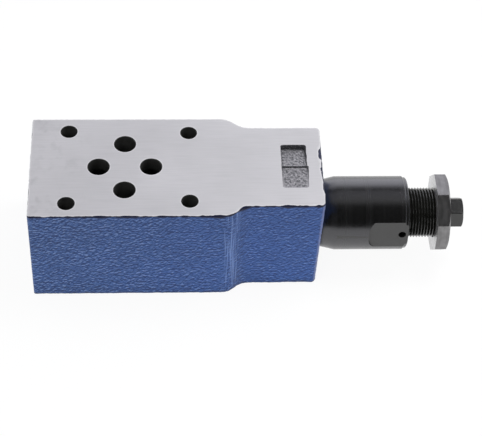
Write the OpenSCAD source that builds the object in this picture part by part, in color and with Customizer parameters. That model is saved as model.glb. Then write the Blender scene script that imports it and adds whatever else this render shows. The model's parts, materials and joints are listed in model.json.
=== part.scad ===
/* [Body] */
// Length of the cast body
body_l = 97.8; // [96:0.1:104]
// Height between the two ground faces
body_h = 40; // [40:0.5:50]
// Width of the body round the port pattern
wide_w = 44; // [43:0.5:50]
// Width of the narrow end that carries the adjuster
narrow_w = 35.5; // [33:0.5:39]
// Distance from the bolt pattern's centre to the plain end
plain_end = 32.8; // [32:0.1:36]
// Distance from the bolt pattern's centre to the middle of the shoulders
shoulder_x = 36; // [35:0.1:40]
// Length of the S-shaped shoulders
shoulder_l = 10.5; // [9:0.5:18]
// Radius of the vertical corners at the adjuster end
end_corner_r = 1.5; // [1:0.5:5]
// Radius of the vertical corners at the plain end
plain_corner_r = 0.8; // [0.4:0.2:3]
// Slope of the cast adjuster end, in degrees, which makes the body shorter at the bottom
end_slope = 1.6; // [0:0.1:3]
// Diameter of the spot face that the sleeve is screwed against
spot_d = 24.4; // [24:0.1:25]
// Depth of the spot face below the top of the adjuster end
spot_depth = 1.2; // [1:0.1:2]

/* [Port pattern] */
// Spacing of the two bolt rows along the body
bolt_rows = 40.5; // [40:0.1:42]
// Bolt spacing across the row at the plain end
bolt_pitch_plain = 32.5; // [31:0.1:33.5]
// Bolt spacing across the row at the adjuster end
bolt_pitch_adjuster = 31; // [30.5:0.1:33]
// Diameter of the bolt holes
bolt_hole_d = 5.5; // [5.2:0.1:6]
// Diameter of the port openings
port_d = 7.2; // [6:0.1:7.5]
// Place of ports P and T along the body
pt_x = -1.25; // [-1.8:0.05:-0.7]
// Spacing of ports P and T across the body
pt_pitch = 20.8; // [20.4:0.1:21.6]
// Place of port A along the body
a_x = 7.55; // [7.2:0.05:8]
// Place of port B along the body
b_x = -9.95; // [-10.4:0.05:-9.6]

/* [Port passages] */
// Depth of the upright part of ports P, A and B
port_depth = 8; // [6:0.5:10]
// Diameter of the slanted drillings of ports A and B
side_drilling_d = 6.6; // [5:0.1:6.8]
// How far the drillings of A and B swing out round the spool bore
side_swing = 12; // [11.4:0.1:14]
// Diameter of the slanted drillings of port P
p_drilling_d = 4.5; // [3.5:0.1:5]
// Diameter of the drain along the body
drain_d = 3.6; // [3:0.1:4]
// Diameter of the slanted drilling from the spring chamber to the drain
drain_cross_d = 3.2; // [2.6:0.1:3.5]
// Distance of the drain from the centre line
drain_y = 9.6; // [9:0.1:10]
// Depth of the drain below the top face
drain_drop = 6.5; // [4:0.1:7]

/* [Port rings] */
// Diameter of the ring recesses in the bottom face
recess_d = 12.6; // [12.2:0.1:13]
// Depth of the ring recesses
recess_depth = 1.3; // [1.1:0.1:1.6]
// Middle diameter of a port ring
port_ring_d = 10.6; // [10:0.1:10.8]
// Width of a port ring when it is squeezed
port_ring_w = 1.8; // [1.6:0.1:2]

/* [Casting pocket] */
// Distance from the pocket's middle to the adjuster end
pocket_setback = 9.5; // [8:0.1:14]
// Width of the pocket along the body
pocket_w = 8.5; // [6:0.1:10]
// Length of the pocket across the body
pocket_l = 19.4; // [14:0.1:24]
// Depth of the far ramp at its far wall
pocket_depth = 1.9; // [1:0.1:3]
// Depth of the near ramp at the step in the middle
pocket_step_depth = 0.8; // [0.6:0.1:1.5]
// Depth of each ramp at its near end
pocket_lip = 0.25; // [0.1:0.05:0.6]
// Radius of the pocket's corners
pocket_corner_r = 0.9; // [0.4:0.1:2]

/* [Spool bore] */
// Offset of the spool axis from the centre line, towards port P
axis_offset = 3.4; // [3:0.1:4]
// Diameter of the spool bore
bore_d = 10; // [9:0.1:10.4]
// Diameter of the two annular grooves
groove_d = 13.5; // [12.5:0.1:13.8]
// Width of the two annular grooves
groove_w = 5; // [4.8:0.1:5.4]
// Place of the inlet groove along the body
inlet_x = -8; // [-9:0.1:-7.5]
// Place of the outlet groove along the body
outlet_x = 6; // [5.5:0.1:7]
// Start of the spring chamber along the body
chamber_x = 21; // [20:0.5:24]
// Diameter of the spring chamber
chamber_d = 16; // [15.2:0.1:17]

/* [Spool] */
// Travel of the spool from open to closed
spool_stroke = 3; // [2:0.1:3.5]
// Overlap of a land and its groove edge
spool_overlap = 0.2; // [0.1:0.05:0.5]
// Diameter of the spool between its lands
spool_neck_d = 6; // [5.5:0.1:7]
// Length that the spool stands out into the spring chamber
spool_stand = 0.5; // [0.3:0.1:1]
// Diameter of the control bore along the spool
control_bore_d = 3.4; // [2:0.1:3.6]
// Diameter of the cross hole in the spool's neck
cross_hole_d = 2.4; // [1.5:0.1:3]
// Width of the pressure-balance grooves
balance_w = 0.5; // [0.3:0.1:0.8]
// Depth of the pressure-balance grooves
balance_depth = 0.3; // [0.2:0.1:0.5]
// Spacing of the pressure-balance grooves
balance_pitch = 2.6; // [2:0.1:3]
// Diameter of the spigot that centres the spring plate
spigot_d = 5; // [4:0.1:6]
// Length of the spigot
spigot_l = 2; // [1.5:0.1:2.5]

/* [Damping orifice] */
// Diameter of the orifice screw
orifice_screw_d = 5; // [4:0.1:6]
// Length of the orifice screw
orifice_screw_l = 4; // [3:0.1:6]
// Diameter of the orifice
orifice_d = 0.8; // [0.5:0.1:1.2]
// Width of the screwdriver slot
orifice_slot_w = 0.9; // [0.6:0.1:1.2]
// Depth of the screwdriver slot
orifice_slot_depth = 1; // [0.6:0.1:1.4]

/* [End plug] */
// Thread diameter of the end plug
plug_d = 16; // [15:0.5:18]
// Thread length of the end plug
plug_thread_l = 7.4; // [6:0.1:8]
// Depth of the plug's face below the plain end
plug_recess = 0.5; // [0.2:0.1:1]
// Diameter of the plug's sealing nose
plug_nose_d = 14; // [13.6:0.1:14.6]
// Length of the plug's sealing nose
plug_nose_l = 3.6; // [3:0.1:4]
// Diameter of the stop on the plug's inner end
plug_stop_d = 7; // [6:0.1:8]
// Length of the stop on the plug's inner end
plug_stop_l = 0.9; // [0.6:0.1:1.2]
// Width across flats of the socket
plug_socket_af = 8; // [6:0.5:9]
// Depth of the socket
plug_socket_depth = 5.5; // [4:0.1:6.5]
// Cord diameter of the plug's ring
plug_ring_cord = 1.5; // [1.2:0.1:1.8]

/* [Adjuster sleeve] */
// Outer diameter of the sleeve
sleeve_d = 25.1; // [24.6:0.1:27]
// Length of the sleeve outside the body
sleeve_out_l = 29.4; // [28:0.1:34]
// Diameter of the sleeve's shoulder on the body
sleeve_lead_d = 22.3; // [22:0.1:23.4]
// Length of the taper from the shoulder to the full diameter
sleeve_lead_l = 4.9; // [3:0.1:8]
// Diameter of the rim at the outer end
sleeve_rim_d = 24.2; // [23.4:0.1:24.5]
// Length of the rim at the outer end
sleeve_rim_l = 1.4; // [0.8:0.1:2]
// Edge chamfer of the rim
sleeve_chamfer = 0.35; // [0.2:0.05:0.6]
// Thread diameter of the sleeve in the body
sleeve_thread_d = 20; // [19:0.1:20.8]
// Diameter of the sleeve's neck under its ring
sleeve_neck_d = 18; // [17.2:0.1:18.2]
// Thread length of the sleeve in the body
sleeve_thread_l = 17.5; // [14:0.1:20]
// Bore of the sleeve round the spring
sleeve_bore_d = 15; // [14.6:0.1:15.1]
// Width across the two wrench flats
sleeve_flat_af = 22.7; // [22:0.1:24]
// Length of the wrench flats
sleeve_flat_l = 13.5; // [8:0.1:16]
// Corner radius of the wrench flats
sleeve_flat_r = 3.8; // [1:0.1:5]
// Tilt of the near wrench flat above the horizontal
sleeve_flat_turn = 7.2; // [0:0.1:90]
// Diameter of the cross hole in the near flat
wire_hole_d = 2.6; // [1.5:0.1:2.8]
// Distance of the cross hole from the sleeve's end
wire_hole_setback = 2.1; // [2:0.1:4]
// Cord diameter of the sleeve's ring
sleeve_ring_cord = 1.8; // [1.6:0.1:2]

/* [Set spindle] */
// Thread diameter of the spindle
spindle_d = 17; // [16.5:0.1:18]
// Diameter of the spindle's smooth shank
shank_d = 14; // [13.6:0.1:14.2]
// Length of the sleeve's bore round the shank
seal_bore_l = 14; // [12:0.1:16]
// Length of the sleeve's inner thread
sleeve_inner_thread_l = 10.4; // [9:0.1:12]
// Travel of the spindle into the sleeve
spindle_travel = 4; // [2:0.5:5]
// Length of the spindle past the lock nut
spindle_proud = 0.4; // [0.2:0.1:1]
// Edge chamfer of the spindle's thread
spindle_chamfer = 0.6; // [0.3:0.1:1]
// Width across flats of the hexagon end
hex_af = 9.5; // [8:0.5:11]
// Length of the hexagon end
hex_l = 5.3; // [4:0.1:8]
// Turn of the hexagon's near corner above the horizontal
hex_turn = 43.5; // [0:0.5:60]
// Slope of the end chamfers of the hexagon and the nut
corner_slope = 30; // [20:1:45]

/* [Spindle seal] */
// Cord diameter of the spindle ring
spindle_ring_cord = 1.5; // [1.2:0.1:1.8]
// Width of the backup ring
backup_w = 1.1; // [0.8:0.1:1.4]
// Distance of the seal groove from the seal bore's inner end
seal_setback = 6; // [5.5:0.1:7]

/* [Retaining ring] */
// Thickness of the retaining ring
keeper_t = 1.2; // [0.8:0.1:1.5]
// Height of the retaining ring above the shank
keeper_stand = 0.4; // [0.3:0.05:0.45]
// Depth of the retaining ring's groove
keeper_groove = 1; // [0.6:0.1:1.2]
// Opening of the retaining ring
keeper_mouth = 7; // [5:0.5:9]
// Play between the retaining ring and the sleeve's step
keeper_play = 0.5; // [0.3:0.1:1]
// Length of the shank inside the retaining ring
shank_tip_l = 2.3; // [2:0.1:3]

/* [Lock nut] */
// Width across flats of the octagon
nut_af = 25.5; // [24:0.1:28]
// Thickness of the nut
nut_t = 4.3; // [3.5:0.1:6]
// Gap between the sleeve and the nut
nut_gap = 9.5; // [8.6:0.1:11]
// Turn of the nut's facing flat above the horizontal
nut_turn = 51; // [0:0.5:90]

/* [Spring] */
// Wire diameter of the spring
wire_d = 2.2; // [1.8:0.1:2.3]
// Middle diameter of the spring
spring_d = 10.8; // [10.6:0.1:11.2]
// Turns of the spring, end turns included
spring_turns = 10; // [8:1:11]
// Thickness of the spring plate and spring seat
plate_t = 3; // [2.5:0.1:4]
// Diameter of the spring plate
plate_d = 14.4; // [13.6:0.1:14.8]
// Diameter of the bosses inside the spring
boss_d = 7.6; // [6:0.1:7.8]
// Length of the bosses inside the spring
boss_l = 5; // [3:0.5:6]
// Diameter of the thrust ball
ball_d = 5; // [4:0.1:6]
// Gap between spindle and spring seat, bridged by the ball
ball_gap = 1; // [0.6:0.1:1.6]

/* [Clearances] */
// Radial clearance of a thread or a seat
thread_gap = 0.05; // [0.03:0.01:0.1]
// Radial clearance of the spool
spool_gap = 0.03; // [0.01:0.01:0.06]
// Gap between faces that bear on each other
face_gap = 0.05; // [0.02:0.01:0.1]

/* [Hidden] */

round_fn = 96;
cord_fn = 32;
cut = 1;

paint_blue = [0.24, 0.34, 0.60];
black_oxide = [0.13, 0.13, 0.14];
bare_steel = [0.55, 0.55, 0.56];
rubber_black = [0.08, 0.08, 0.08];
spring_steel = [0.40, 0.40, 0.42];
backup_white = [0.88, 0.87, 0.82];

// Body outline
body_end = body_l - plain_end;
spot_x = body_end - spot_depth;
shoulder_drop = (wide_w - narrow_w) / 2;
shoulder_start = shoulder_x - shoulder_l / 2;
shoulder_stop = shoulder_x + shoulder_l / 2;
shoulder_r = (pow(shoulder_l, 2) + pow(shoulder_drop, 2)) / (4 * shoulder_drop);
// The end's rounded corners stand out by this, so they meet the upright sides at a small angle
corner_bite = 0.02;

// Ports as [x, y]
port_p = [pt_x, -pt_pitch / 2];
port_t = [pt_x, pt_pitch / 2];
port_a = [a_x, 0];
port_b = [b_x, 0];
all_ports = [port_p, port_t, port_a, port_b];
// Slanted drillings start inside the upright part of their port
drilling_depth = port_depth * 3 / 4;

// Spool axis, along X
axis_y = -axis_offset;
axis_z = body_h / 2;

// Stations along the axis, from the plain end
plug_x = -plain_end + plug_recess;
plug_nose_x = plug_x + plug_thread_l;
plug_nose_end = plug_nose_x + plug_nose_l;
plug_stop_x = plug_nose_end + plug_stop_l;
spool_x = plug_stop_x + face_gap;
bore_x = plug_nose_end + plug_stop_l / 2;
land_d = bore_d - 2 * spool_gap;
inlet_edge = inlet_x + groove_w / 2 - spool_stroke + spool_overlap;
outlet_edge = outlet_x + groove_w / 2 - spool_overlap;
spool_end = chamber_x + spool_stand;
plate_x = spool_end + face_gap;
plate_face = plate_x + plate_t;

// Stations along the axis, from the adjuster's end
sleeve_end = body_end + sleeve_out_l;
sleeve_in = body_end - sleeve_thread_l;
thread_step = sleeve_end - sleeve_inner_thread_l;
seal_step = thread_step - seal_bore_l;
keeper_x = seal_step - keeper_play - keeper_t;
spindle_in = keeper_x - shank_tip_l;
spindle_thread_x = thread_step + spindle_travel + keeper_play / 2;
nut_x = sleeve_end + nut_gap;
hex_x = nut_x + nut_t + spindle_proud;
spindle_end = hex_x + hex_l;
seal_x = seal_step + seal_setback;
seat_x1 = spindle_in - ball_gap;
seat_face = seat_x1 - plate_t;
ball_x = spindle_in - ball_gap / 2;

// Seal sections
plug_groove_d = plug_nose_d - 2 * plug_ring_cord;
plug_groove_w = plug_ring_cord + 4 * face_gap;
plug_groove_x = plug_nose_x + (plug_nose_l - plug_groove_w) / 2;
seal_groove_d = shank_d - 2 * spindle_ring_cord;
seal_groove_w = spindle_ring_cord + backup_w + 6 * face_gap;
sleeve_ring_space = sleeve_ring_cord + 4 * face_gap;
sleeve_ring_d = sleeve_neck_d + sleeve_ring_cord + 2 * face_gap;
sleeve_pocket_d = sleeve_ring_d + sleeve_ring_cord + 2 * face_gap;
seat_d = sleeve_bore_d - 2 * thread_gap;

// Elevation above the horizontal, on the P side, to a turn about the axis
function axis_turn(elevation) = 270 - elevation;

// Across flats to across corners of a polygon
function corners(af, sides) = af / cos(180 / sides);

// Places children on the spool axis, their Z along the axis
module on_axis(x = 0) {
    translate([x, axis_y, axis_z]) rotate([0, 90, 0]) children();
}

// Solid turned about the spool axis from [x, diameter] points
module turned(profile) {
    on_axis() rotate_extrude($fn = round_fn)
        polygon([for (p = profile) [p[1] / 2, p[0]]]);
}

// Round bar or bore along the spool axis
module axial(x0, x1, d) {
    on_axis(x0) cylinder(d = d, h = x1 - x0, $fn = round_fn);
}

// Round ring about the spool axis
module axial_ring(x, middle_d, cord) {
    on_axis(x) rotate_extrude($fn = round_fn)
        translate([middle_d / 2, 0]) circle(d = cord, $fn = cord_fn);
}

// Straight drilling from one point to another
module drilling(start, stop, d) {
    v = stop - start;
    translate(start)
        rotate([0, acos(v[2] / norm(v)), atan2(v[1], v[0])])
            cylinder(d = d, h = norm(v), $fn = round_fn);
}

// Upright hole between two heights
module upright(place, z0, z1, d) {
    translate([place[0], place[1], z0]) cylinder(d = d, h = z1 - z0, $fn = round_fn);
}

// Repeats children mirrored across the body
module both_sides() {
    children();
    mirror([0, 1, 0]) children();
}

// What a rounded corner at [x, y] takes away; dir points out of the body along X
module corner_waste(x, y, r, dir) {
    difference() {
        translate([dir > 0 ? x - r : x - cut, y - r]) square([r + cut, r + cut]);
        translate([x - dir * r, y - r]) circle(r = r, $fn = cord_fn);
    }
}

// One S-shaped shoulder, down to the centre line
module shoulder() {
    intersection() {
        translate([shoulder_start, wide_w / 2 - shoulder_r]) circle(r = shoulder_r, $fn = round_fn);
        translate([shoulder_start, 0]) square([shoulder_l / 2, wide_w / 2]);
    }
    difference() {
        translate([shoulder_x, 0]) square([shoulder_l / 2, (wide_w + narrow_w) / 4]);
        translate([shoulder_stop, narrow_w / 2 + shoulder_r]) circle(r = shoulder_r, $fn = round_fn);
    }
}

module body_outline() {
    difference() {
        union() {
            translate([-plain_end, -wide_w / 2]) square([plain_end + shoulder_start, wide_w]);
            translate([-plain_end, -narrow_w / 2]) square([body_l, narrow_w]);
            both_sides() shoulder();
        }
        both_sides() corner_waste(-plain_end, wide_w / 2, plain_corner_r, -1);
    }
}

// What the sloping end face and its rounded corners take away, seen along that face
module end_waste() {
    translate([0, -wide_w / 2]) square([body_h, wide_w]);
    both_sides() corner_waste(0, narrow_w / 2 + corner_bite, end_corner_r, 1);
}

// Cast form without holes: the adjuster end slopes back from its top edge
module cast_form() {
    difference() {
        linear_extrude(body_h) body_outline();
        translate([body_end, 0, body_h]) rotate([0, end_slope, 0]) translate([0, 0, -2 * body_h])
            linear_extrude(3 * body_h) end_waste();
    }
}

// Stepped bore for plug, spool, spring and sleeve, with the sleeve's spot face
module axis_cavity() {
    plug_hole = plug_d + 2 * thread_gap;
    nose_hole = plug_nose_d + 2 * thread_gap;
    thread_hole = sleeve_thread_d + 2 * thread_gap;
    turned([
        [-plain_end - cut, 0],
        [-plain_end - cut, plug_hole],
        [plug_nose_x + face_gap, plug_hole],
        [plug_nose_x + face_gap, nose_hole],
        [bore_x, nose_hole],
        [bore_x, bore_d],
        [inlet_x - groove_w / 2, bore_d],
        [inlet_x - groove_w / 2, groove_d],
        [inlet_x + groove_w / 2, groove_d],
        [inlet_x + groove_w / 2, bore_d],
        [outlet_x - groove_w / 2, bore_d],
        [outlet_x - groove_w / 2, groove_d],
        [outlet_x + groove_w / 2, groove_d],
        [outlet_x + groove_w / 2, bore_d],
        [chamber_x, bore_d],
        [chamber_x, chamber_d],
        [sleeve_in - face_gap, chamber_d],
        [sleeve_in - face_gap, thread_hole],
        [spot_x - sleeve_ring_space, thread_hole],
        [spot_x - sleeve_ring_space, sleeve_pocket_d],
        [spot_x, sleeve_pocket_d],
        [spot_x, spot_d],
        [body_end + cut, spot_d],
        [body_end + cut, 0]
    ]);
}

// Ports A and B swing round the spool bore on the T side
module side_passage(place) {
    elbow = [place[0], side_swing, axis_z];
    low = [place[0], place[1], drilling_depth];
    high = [place[0], place[1], body_h - drilling_depth];
    upright(place, -cut, port_depth, port_d);
    upright(place, body_h - port_depth, body_h + cut, port_d);
    drilling(low, elbow, side_drilling_d);
    drilling(high, elbow, side_drilling_d);
}

// Port P enters the inlet groove from below and leaves the outlet groove upwards
module p_passage() {
    reach = (bore_d + groove_d) / 4;
    low = [port_p[0], port_p[1], drilling_depth];
    high = [port_p[0], port_p[1], body_h - drilling_depth];
    upright(port_p, -cut, port_depth, port_d);
    upright(port_p, body_h - port_depth, body_h + cut, port_d);
    drilling(low, [inlet_x, axis_y, axis_z - reach], p_drilling_d);
    drilling(high, [outlet_x, axis_y, axis_z + reach], p_drilling_d);
}

// Drain from the spring chamber along the body to port T
module drain_passage() {
    drain_z = body_h - drain_drop;
    corner_x = chamber_x + drain_d;
    drilling([corner_x, axis_y, axis_z], [corner_x, drain_y, drain_z], drain_cross_d);
    drilling([port_t[0], drain_y, drain_z], [corner_x + drain_d / 2, drain_y, drain_z], drain_d);
}

// Side view of one ramp of the pocket: deep at its far wall, shallow at its near end
module ramp_side(depth) {
    polygon([
        [0, -pocket_lip],
        [pocket_l / 2, -depth],
        [pocket_l / 2, cut],
        [0, cut]
    ]);
}

module pocket_plan() {
    inner = [pocket_w - 2 * pocket_corner_r, pocket_l - 2 * pocket_corner_r];
    square([pocket_w, inner[1]], center = true);
    square([inner[0], pocket_l], center = true);
    for (sx = [-1, 1], sy = [-1, 1])
        translate([sx * inner[0] / 2, sy * inner[1] / 2]) circle(r = pocket_corner_r, $fn = cord_fn);
}

// Bare cast pocket in the top face, with two ramps
module casting_pocket() {
    translate([body_end - pocket_setback, 0, body_h]) intersection() {
        translate([0, 0, -pocket_depth - cut]) linear_extrude(pocket_depth + 2 * cut) pocket_plan();
        union() {
            translate([-pocket_w / 2, -pocket_l / 2, 0])
                rotate([90, 0, 90]) linear_extrude(pocket_w) ramp_side(pocket_step_depth);
            translate([-pocket_w / 2, 0, 0])
                rotate([90, 0, 90]) linear_extrude(pocket_w) ramp_side(pocket_depth);
        }
    }
}

module valve_body() {
    color(paint_blue) difference() {
        cast_form();
        axis_cavity();
        for (side = [-1, 1]) {
            upright([-bolt_rows / 2, side * bolt_pitch_plain / 2], -cut, body_h + cut, bolt_hole_d);
            upright([bolt_rows / 2, side * bolt_pitch_adjuster / 2], -cut, body_h + cut, bolt_hole_d);
        }
        upright(port_t, -cut, body_h + cut, port_d);
        side_passage(port_a);
        side_passage(port_b);
        p_passage();
        drain_passage();
        for (place = all_ports)
            upright(place, -cut, recess_depth, recess_d);
        casting_pocket();
    }
}

// Milled flat with rounded inner corners, cut from the sleeve's outer end
module flat_waste() {
    reach = sqrt(pow(sleeve_d, 2) - pow(sleeve_flat_af, 2)) / 2 + cut;
    translate([sleeve_flat_af / 2, 0, sleeve_end - sleeve_flat_l])
        rotate([0, 90, 0])
            linear_extrude(sleeve_d - sleeve_flat_af) difference() {
                translate([-sleeve_flat_l - cut, -reach]) square([sleeve_flat_l + cut, 2 * reach]);
                both_sides() corner_waste(0, reach, sleeve_flat_r + cut, 1);
            }
}

module adjuster_sleeve() {
    rim_x = sleeve_end - sleeve_rim_l;
    rim_step = (sleeve_d - sleeve_rim_d) / 2;
    color(black_oxide) difference() {
        turned([
            [sleeve_in, sleeve_bore_d],
            [sleeve_in, sleeve_thread_d - 2 * sleeve_chamfer],
            [sleeve_in + sleeve_chamfer, sleeve_thread_d],
            [spot_x - sleeve_ring_space, sleeve_thread_d],
            [spot_x - sleeve_ring_space, sleeve_neck_d],
            [spot_x + face_gap, sleeve_neck_d],
            [spot_x + face_gap, sleeve_lead_d],
            [body_end + sleeve_lead_l, sleeve_d],
            [rim_x, sleeve_d],
            [rim_x + rim_step, sleeve_rim_d],
            [sleeve_end - sleeve_chamfer, sleeve_rim_d],
            [sleeve_end, sleeve_rim_d - 2 * sleeve_chamfer],
            [sleeve_end, spindle_d + 2 * thread_gap],
            [thread_step, spindle_d + 2 * thread_gap],
            [thread_step, shank_d + 2 * thread_gap],
            [seal_step, shank_d + 2 * thread_gap],
            [seal_step, sleeve_bore_d]
        ]);
        for (side = [0, 180])
            on_axis() rotate([0, 0, axis_turn(sleeve_flat_turn) + side]) flat_waste();
        on_axis(sleeve_end - wire_hole_setback) rotate([0, 0, axis_turn(sleeve_flat_turn)])
            rotate([0, 90, 0]) cylinder(d = wire_hole_d, h = sleeve_d, $fn = round_fn);
    }
}

// Envelope of a polygon from x0 to x1, with its corners chamfered at the outer end
module chamfer_envelope(x0, x1, af, sides) {
    tip = corners(af, sides) + cut;
    turned([
        [x0, 0],
        [x0, tip],
        [x1 - (tip - af) / 2 * tan(corner_slope), tip],
        [x1, af],
        [x1, 0]
    ]);
}

module set_spindle() {
    tip_d = shank_d - 2 * spindle_chamfer;
    color(black_oxide) {
        difference() {
            turned([
                [spindle_in, 0],
                [spindle_in, tip_d],
                [spindle_in + spindle_chamfer, shank_d],
                [keeper_x - face_gap, shank_d],
                [keeper_x - face_gap, shank_d - 2 * keeper_groove],
                [keeper_x + keeper_t + face_gap, shank_d - 2 * keeper_groove],
                [keeper_x + keeper_t + face_gap, shank_d],
                [seal_x, shank_d],
                [seal_x, seal_groove_d],
                [seal_x + seal_groove_w, seal_groove_d],
                [seal_x + seal_groove_w, shank_d],
                [spindle_thread_x, shank_d],
                [spindle_thread_x, spindle_d - 2 * spindle_chamfer],
                [spindle_thread_x + spindle_chamfer, spindle_d],
                [hex_x - spindle_chamfer, spindle_d],
                [hex_x, spindle_d - 2 * spindle_chamfer],
                [hex_x, 0]
            ]);
            on_axis(ball_x) sphere(d = ball_d + 2 * face_gap, $fn = round_fn);
        }
        // The hexagon is rooted inside the thread, so both are one solid
        intersection() {
            on_axis(hex_x - cut) rotate([0, 0, axis_turn(hex_turn)])
                cylinder(d = corners(hex_af, 6), h = hex_l + cut, $fn = 6);
            chamfer_envelope(hex_x - cut, spindle_end, hex_af, 6);
        }
    }
}

module lock_nut() {
    flat_to_corner = 180 / 8;
    color(bare_steel) difference() {
        intersection() {
            on_axis(nut_x) rotate([0, 0, axis_turn(nut_turn) + flat_to_corner])
                cylinder(d = corners(nut_af, 8), h = nut_t, $fn = 8);
            chamfer_envelope(nut_x, nut_x + nut_t, nut_af, 8);
        }
        axial(nut_x - cut, nut_x + nut_t + cut, spindle_d + 2 * thread_gap);
    }
}

module spindle_o_ring() {
    color(rubber_black)
        axial_ring(seal_x + spindle_ring_cord / 2 + 2 * face_gap, shank_d - spindle_ring_cord + face_gap,
            spindle_ring_cord - face_gap);
}

module spindle_backup_ring() {
    x1 = seal_x + seal_groove_w - face_gap;
    color(backup_white) turned([
        [x1 - backup_w, seal_groove_d + 2 * face_gap],
        [x1 - backup_w, shank_d],
        [x1, shank_d],
        [x1, seal_groove_d + 2 * face_gap]
    ]);
}

// Open spring ring in the groove at the spindle's inner end
module retaining_ring() {
    mouth_turn = axis_turn(-90);
    color(spring_steel) difference() {
        turned([
            [keeper_x, shank_d - 2 * keeper_groove + 2 * face_gap],
            [keeper_x, shank_d + 2 * keeper_stand],
            [keeper_x + keeper_t, shank_d + 2 * keeper_stand],
            [keeper_x + keeper_t, shank_d - 2 * keeper_groove + 2 * face_gap]
        ]);
        on_axis(keeper_x - cut) rotate([0, 0, mouth_turn])
            translate([0, -keeper_mouth / 2, 0]) cube([shank_d, keeper_mouth, keeper_t + 2 * cut]);
    }
}

module sleeve_o_ring() {
    color(rubber_black)
        axial_ring(spot_x - sleeve_ring_space / 2, sleeve_ring_d, sleeve_ring_cord);
}

module spring_seat() {
    color(bare_steel) difference() {
        turned([
            [seat_face - boss_l, 0],
            [seat_face - boss_l, boss_d - 2 * spindle_chamfer],
            [seat_face - boss_l + spindle_chamfer, boss_d],
            [seat_face, boss_d],
            [seat_face, seat_d],
            [seat_x1, seat_d],
            [seat_x1, 0]
        ]);
        on_axis(ball_x) sphere(d = ball_d + 2 * face_gap, $fn = round_fn);
    }
}

module thrust_ball() {
    color(bare_steel) on_axis(ball_x) sphere(d = ball_d, $fn = round_fn);
}

// Coil with closed end turns, swept as rings of points round the wire
module main_spring() {
    sides = 8;
    steps = 18;
    closed_pitch = wire_d + 2 * face_gap;
    x0 = plate_face + wire_d / 2 + face_gap;
    x1 = seat_face - wire_d / 2 - face_gap;
    open_pitch = (x1 - x0 - 2 * closed_pitch) / (spring_turns - 2);
    rings = spring_turns * steps;
    function lift(t) = t < 1 ? closed_pitch * t
        : t > spring_turns - 1 ? x1 - x0 - closed_pitch * (spring_turns - t)
        : closed_pitch + open_pitch * (t - 1);
    function wire_point(i, k) =
        let (t = i / steps, r = (spring_d + wire_d * cos(360 * k / sides)) / 2)
        [r * cos(360 * t), r * sin(360 * t), x0 + lift(t) + wire_d / 2 * sin(360 * k / sides)];
    points = [for (i = [0:rings], k = [0:sides - 1]) wire_point(i, k)];
    walls = [
        for (i = [0:rings - 1], k = [0:sides - 1])
            let (n = (k + 1) % sides)
            [i * sides + k, i * sides + n, (i + 1) * sides + n, (i + 1) * sides + k]
    ];
    caps = [
        [for (k = [sides - 1:-1:0]) k],
        [for (k = [0:sides - 1]) rings * sides + k]
    ];
    color(spring_steel) on_axis() polyhedron(points, concat(walls, caps));
}

module spring_plate() {
    color(bare_steel) difference() {
        turned([
            [plate_x, 0],
            [plate_x, plate_d],
            [plate_face, plate_d],
            [plate_face, boss_d],
            [plate_face + boss_l - spindle_chamfer, boss_d],
            [plate_face + boss_l, boss_d - 2 * spindle_chamfer],
            [plate_face + boss_l, 0]
        ]);
        axial(plate_x - cut, spool_end + spigot_l + 2 * face_gap, spigot_d + 2 * thread_gap);
    }
}

module control_spool() {
    edge = balance_depth;
    balance_count = floor((spool_end - outlet_edge) / balance_pitch) - 1;
    balance_grooves = [
        for (i = [1:balance_count])
            let (x = outlet_edge + i * balance_pitch)
            each [
                [x, land_d],
                [x, land_d - 2 * balance_depth],
                [x + balance_w, land_d - 2 * balance_depth],
                [x + balance_w, land_d]
            ]
    ];
    cross_x = (inlet_edge + outlet_edge) / 2;
    color(bare_steel) difference() {
        turned(concat(
            [
                [spool_x, 0],
                [spool_x, land_d - 2 * edge],
                [spool_x + edge, land_d],
                [inlet_edge, land_d],
                [inlet_edge, spool_neck_d],
                [outlet_edge, spool_neck_d],
                [outlet_edge, land_d]
            ],
            balance_grooves,
            [
                [spool_end - edge, land_d],
                [spool_end, land_d - 2 * edge],
                [spool_end, spigot_d],
                [spool_end + spigot_l, spigot_d],
                [spool_end + spigot_l, 0]
            ]
        ));
        axial(spool_x - cut, spool_x + orifice_screw_l + face_gap, orifice_screw_d + 2 * thread_gap);
        axial(spool_x, cross_x, control_bore_d);
        on_axis(cross_x) rotate([90, 0, 0])
            cylinder(d = cross_hole_d, h = bore_d, center = true, $fn = round_fn);
    }
}

module damping_orifice() {
    x1 = spool_x + orifice_screw_l;
    color(bare_steel) difference() {
        axial(spool_x + face_gap, x1, orifice_screw_d);
        axial(spool_x - cut, x1 + cut, orifice_d);
        on_axis(spool_x - cut) translate([-orifice_slot_w / 2, -orifice_screw_d, 0])
            cube([orifice_slot_w, 2 * orifice_screw_d, cut + face_gap + orifice_slot_depth]);
    }
}

module end_plug() {
    color(black_oxide) difference() {
        turned([
            [plug_x, 0],
            [plug_x, plug_d - 2 * spindle_chamfer],
            [plug_x + spindle_chamfer, plug_d],
            [plug_nose_x, plug_d],
            [plug_nose_x, plug_nose_d],
            [plug_groove_x, plug_nose_d],
            [plug_groove_x, plug_groove_d],
            [plug_groove_x + plug_groove_w, plug_groove_d],
            [plug_groove_x + plug_groove_w, plug_nose_d],
            [plug_nose_end, plug_nose_d],
            [plug_nose_end, plug_stop_d],
            [plug_stop_x, plug_stop_d],
            [plug_stop_x, 0]
        ]);
        on_axis(plug_x - cut)
            cylinder(d = corners(plug_socket_af, 6), h = plug_socket_depth + cut, $fn = 6);
    }
}

module end_plug_o_ring() {
    color(rubber_black)
        axial_ring(plug_groove_x + plug_groove_w / 2, plug_nose_d - plug_ring_cord + face_gap,
            plug_ring_cord - face_gap);
}

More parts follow.
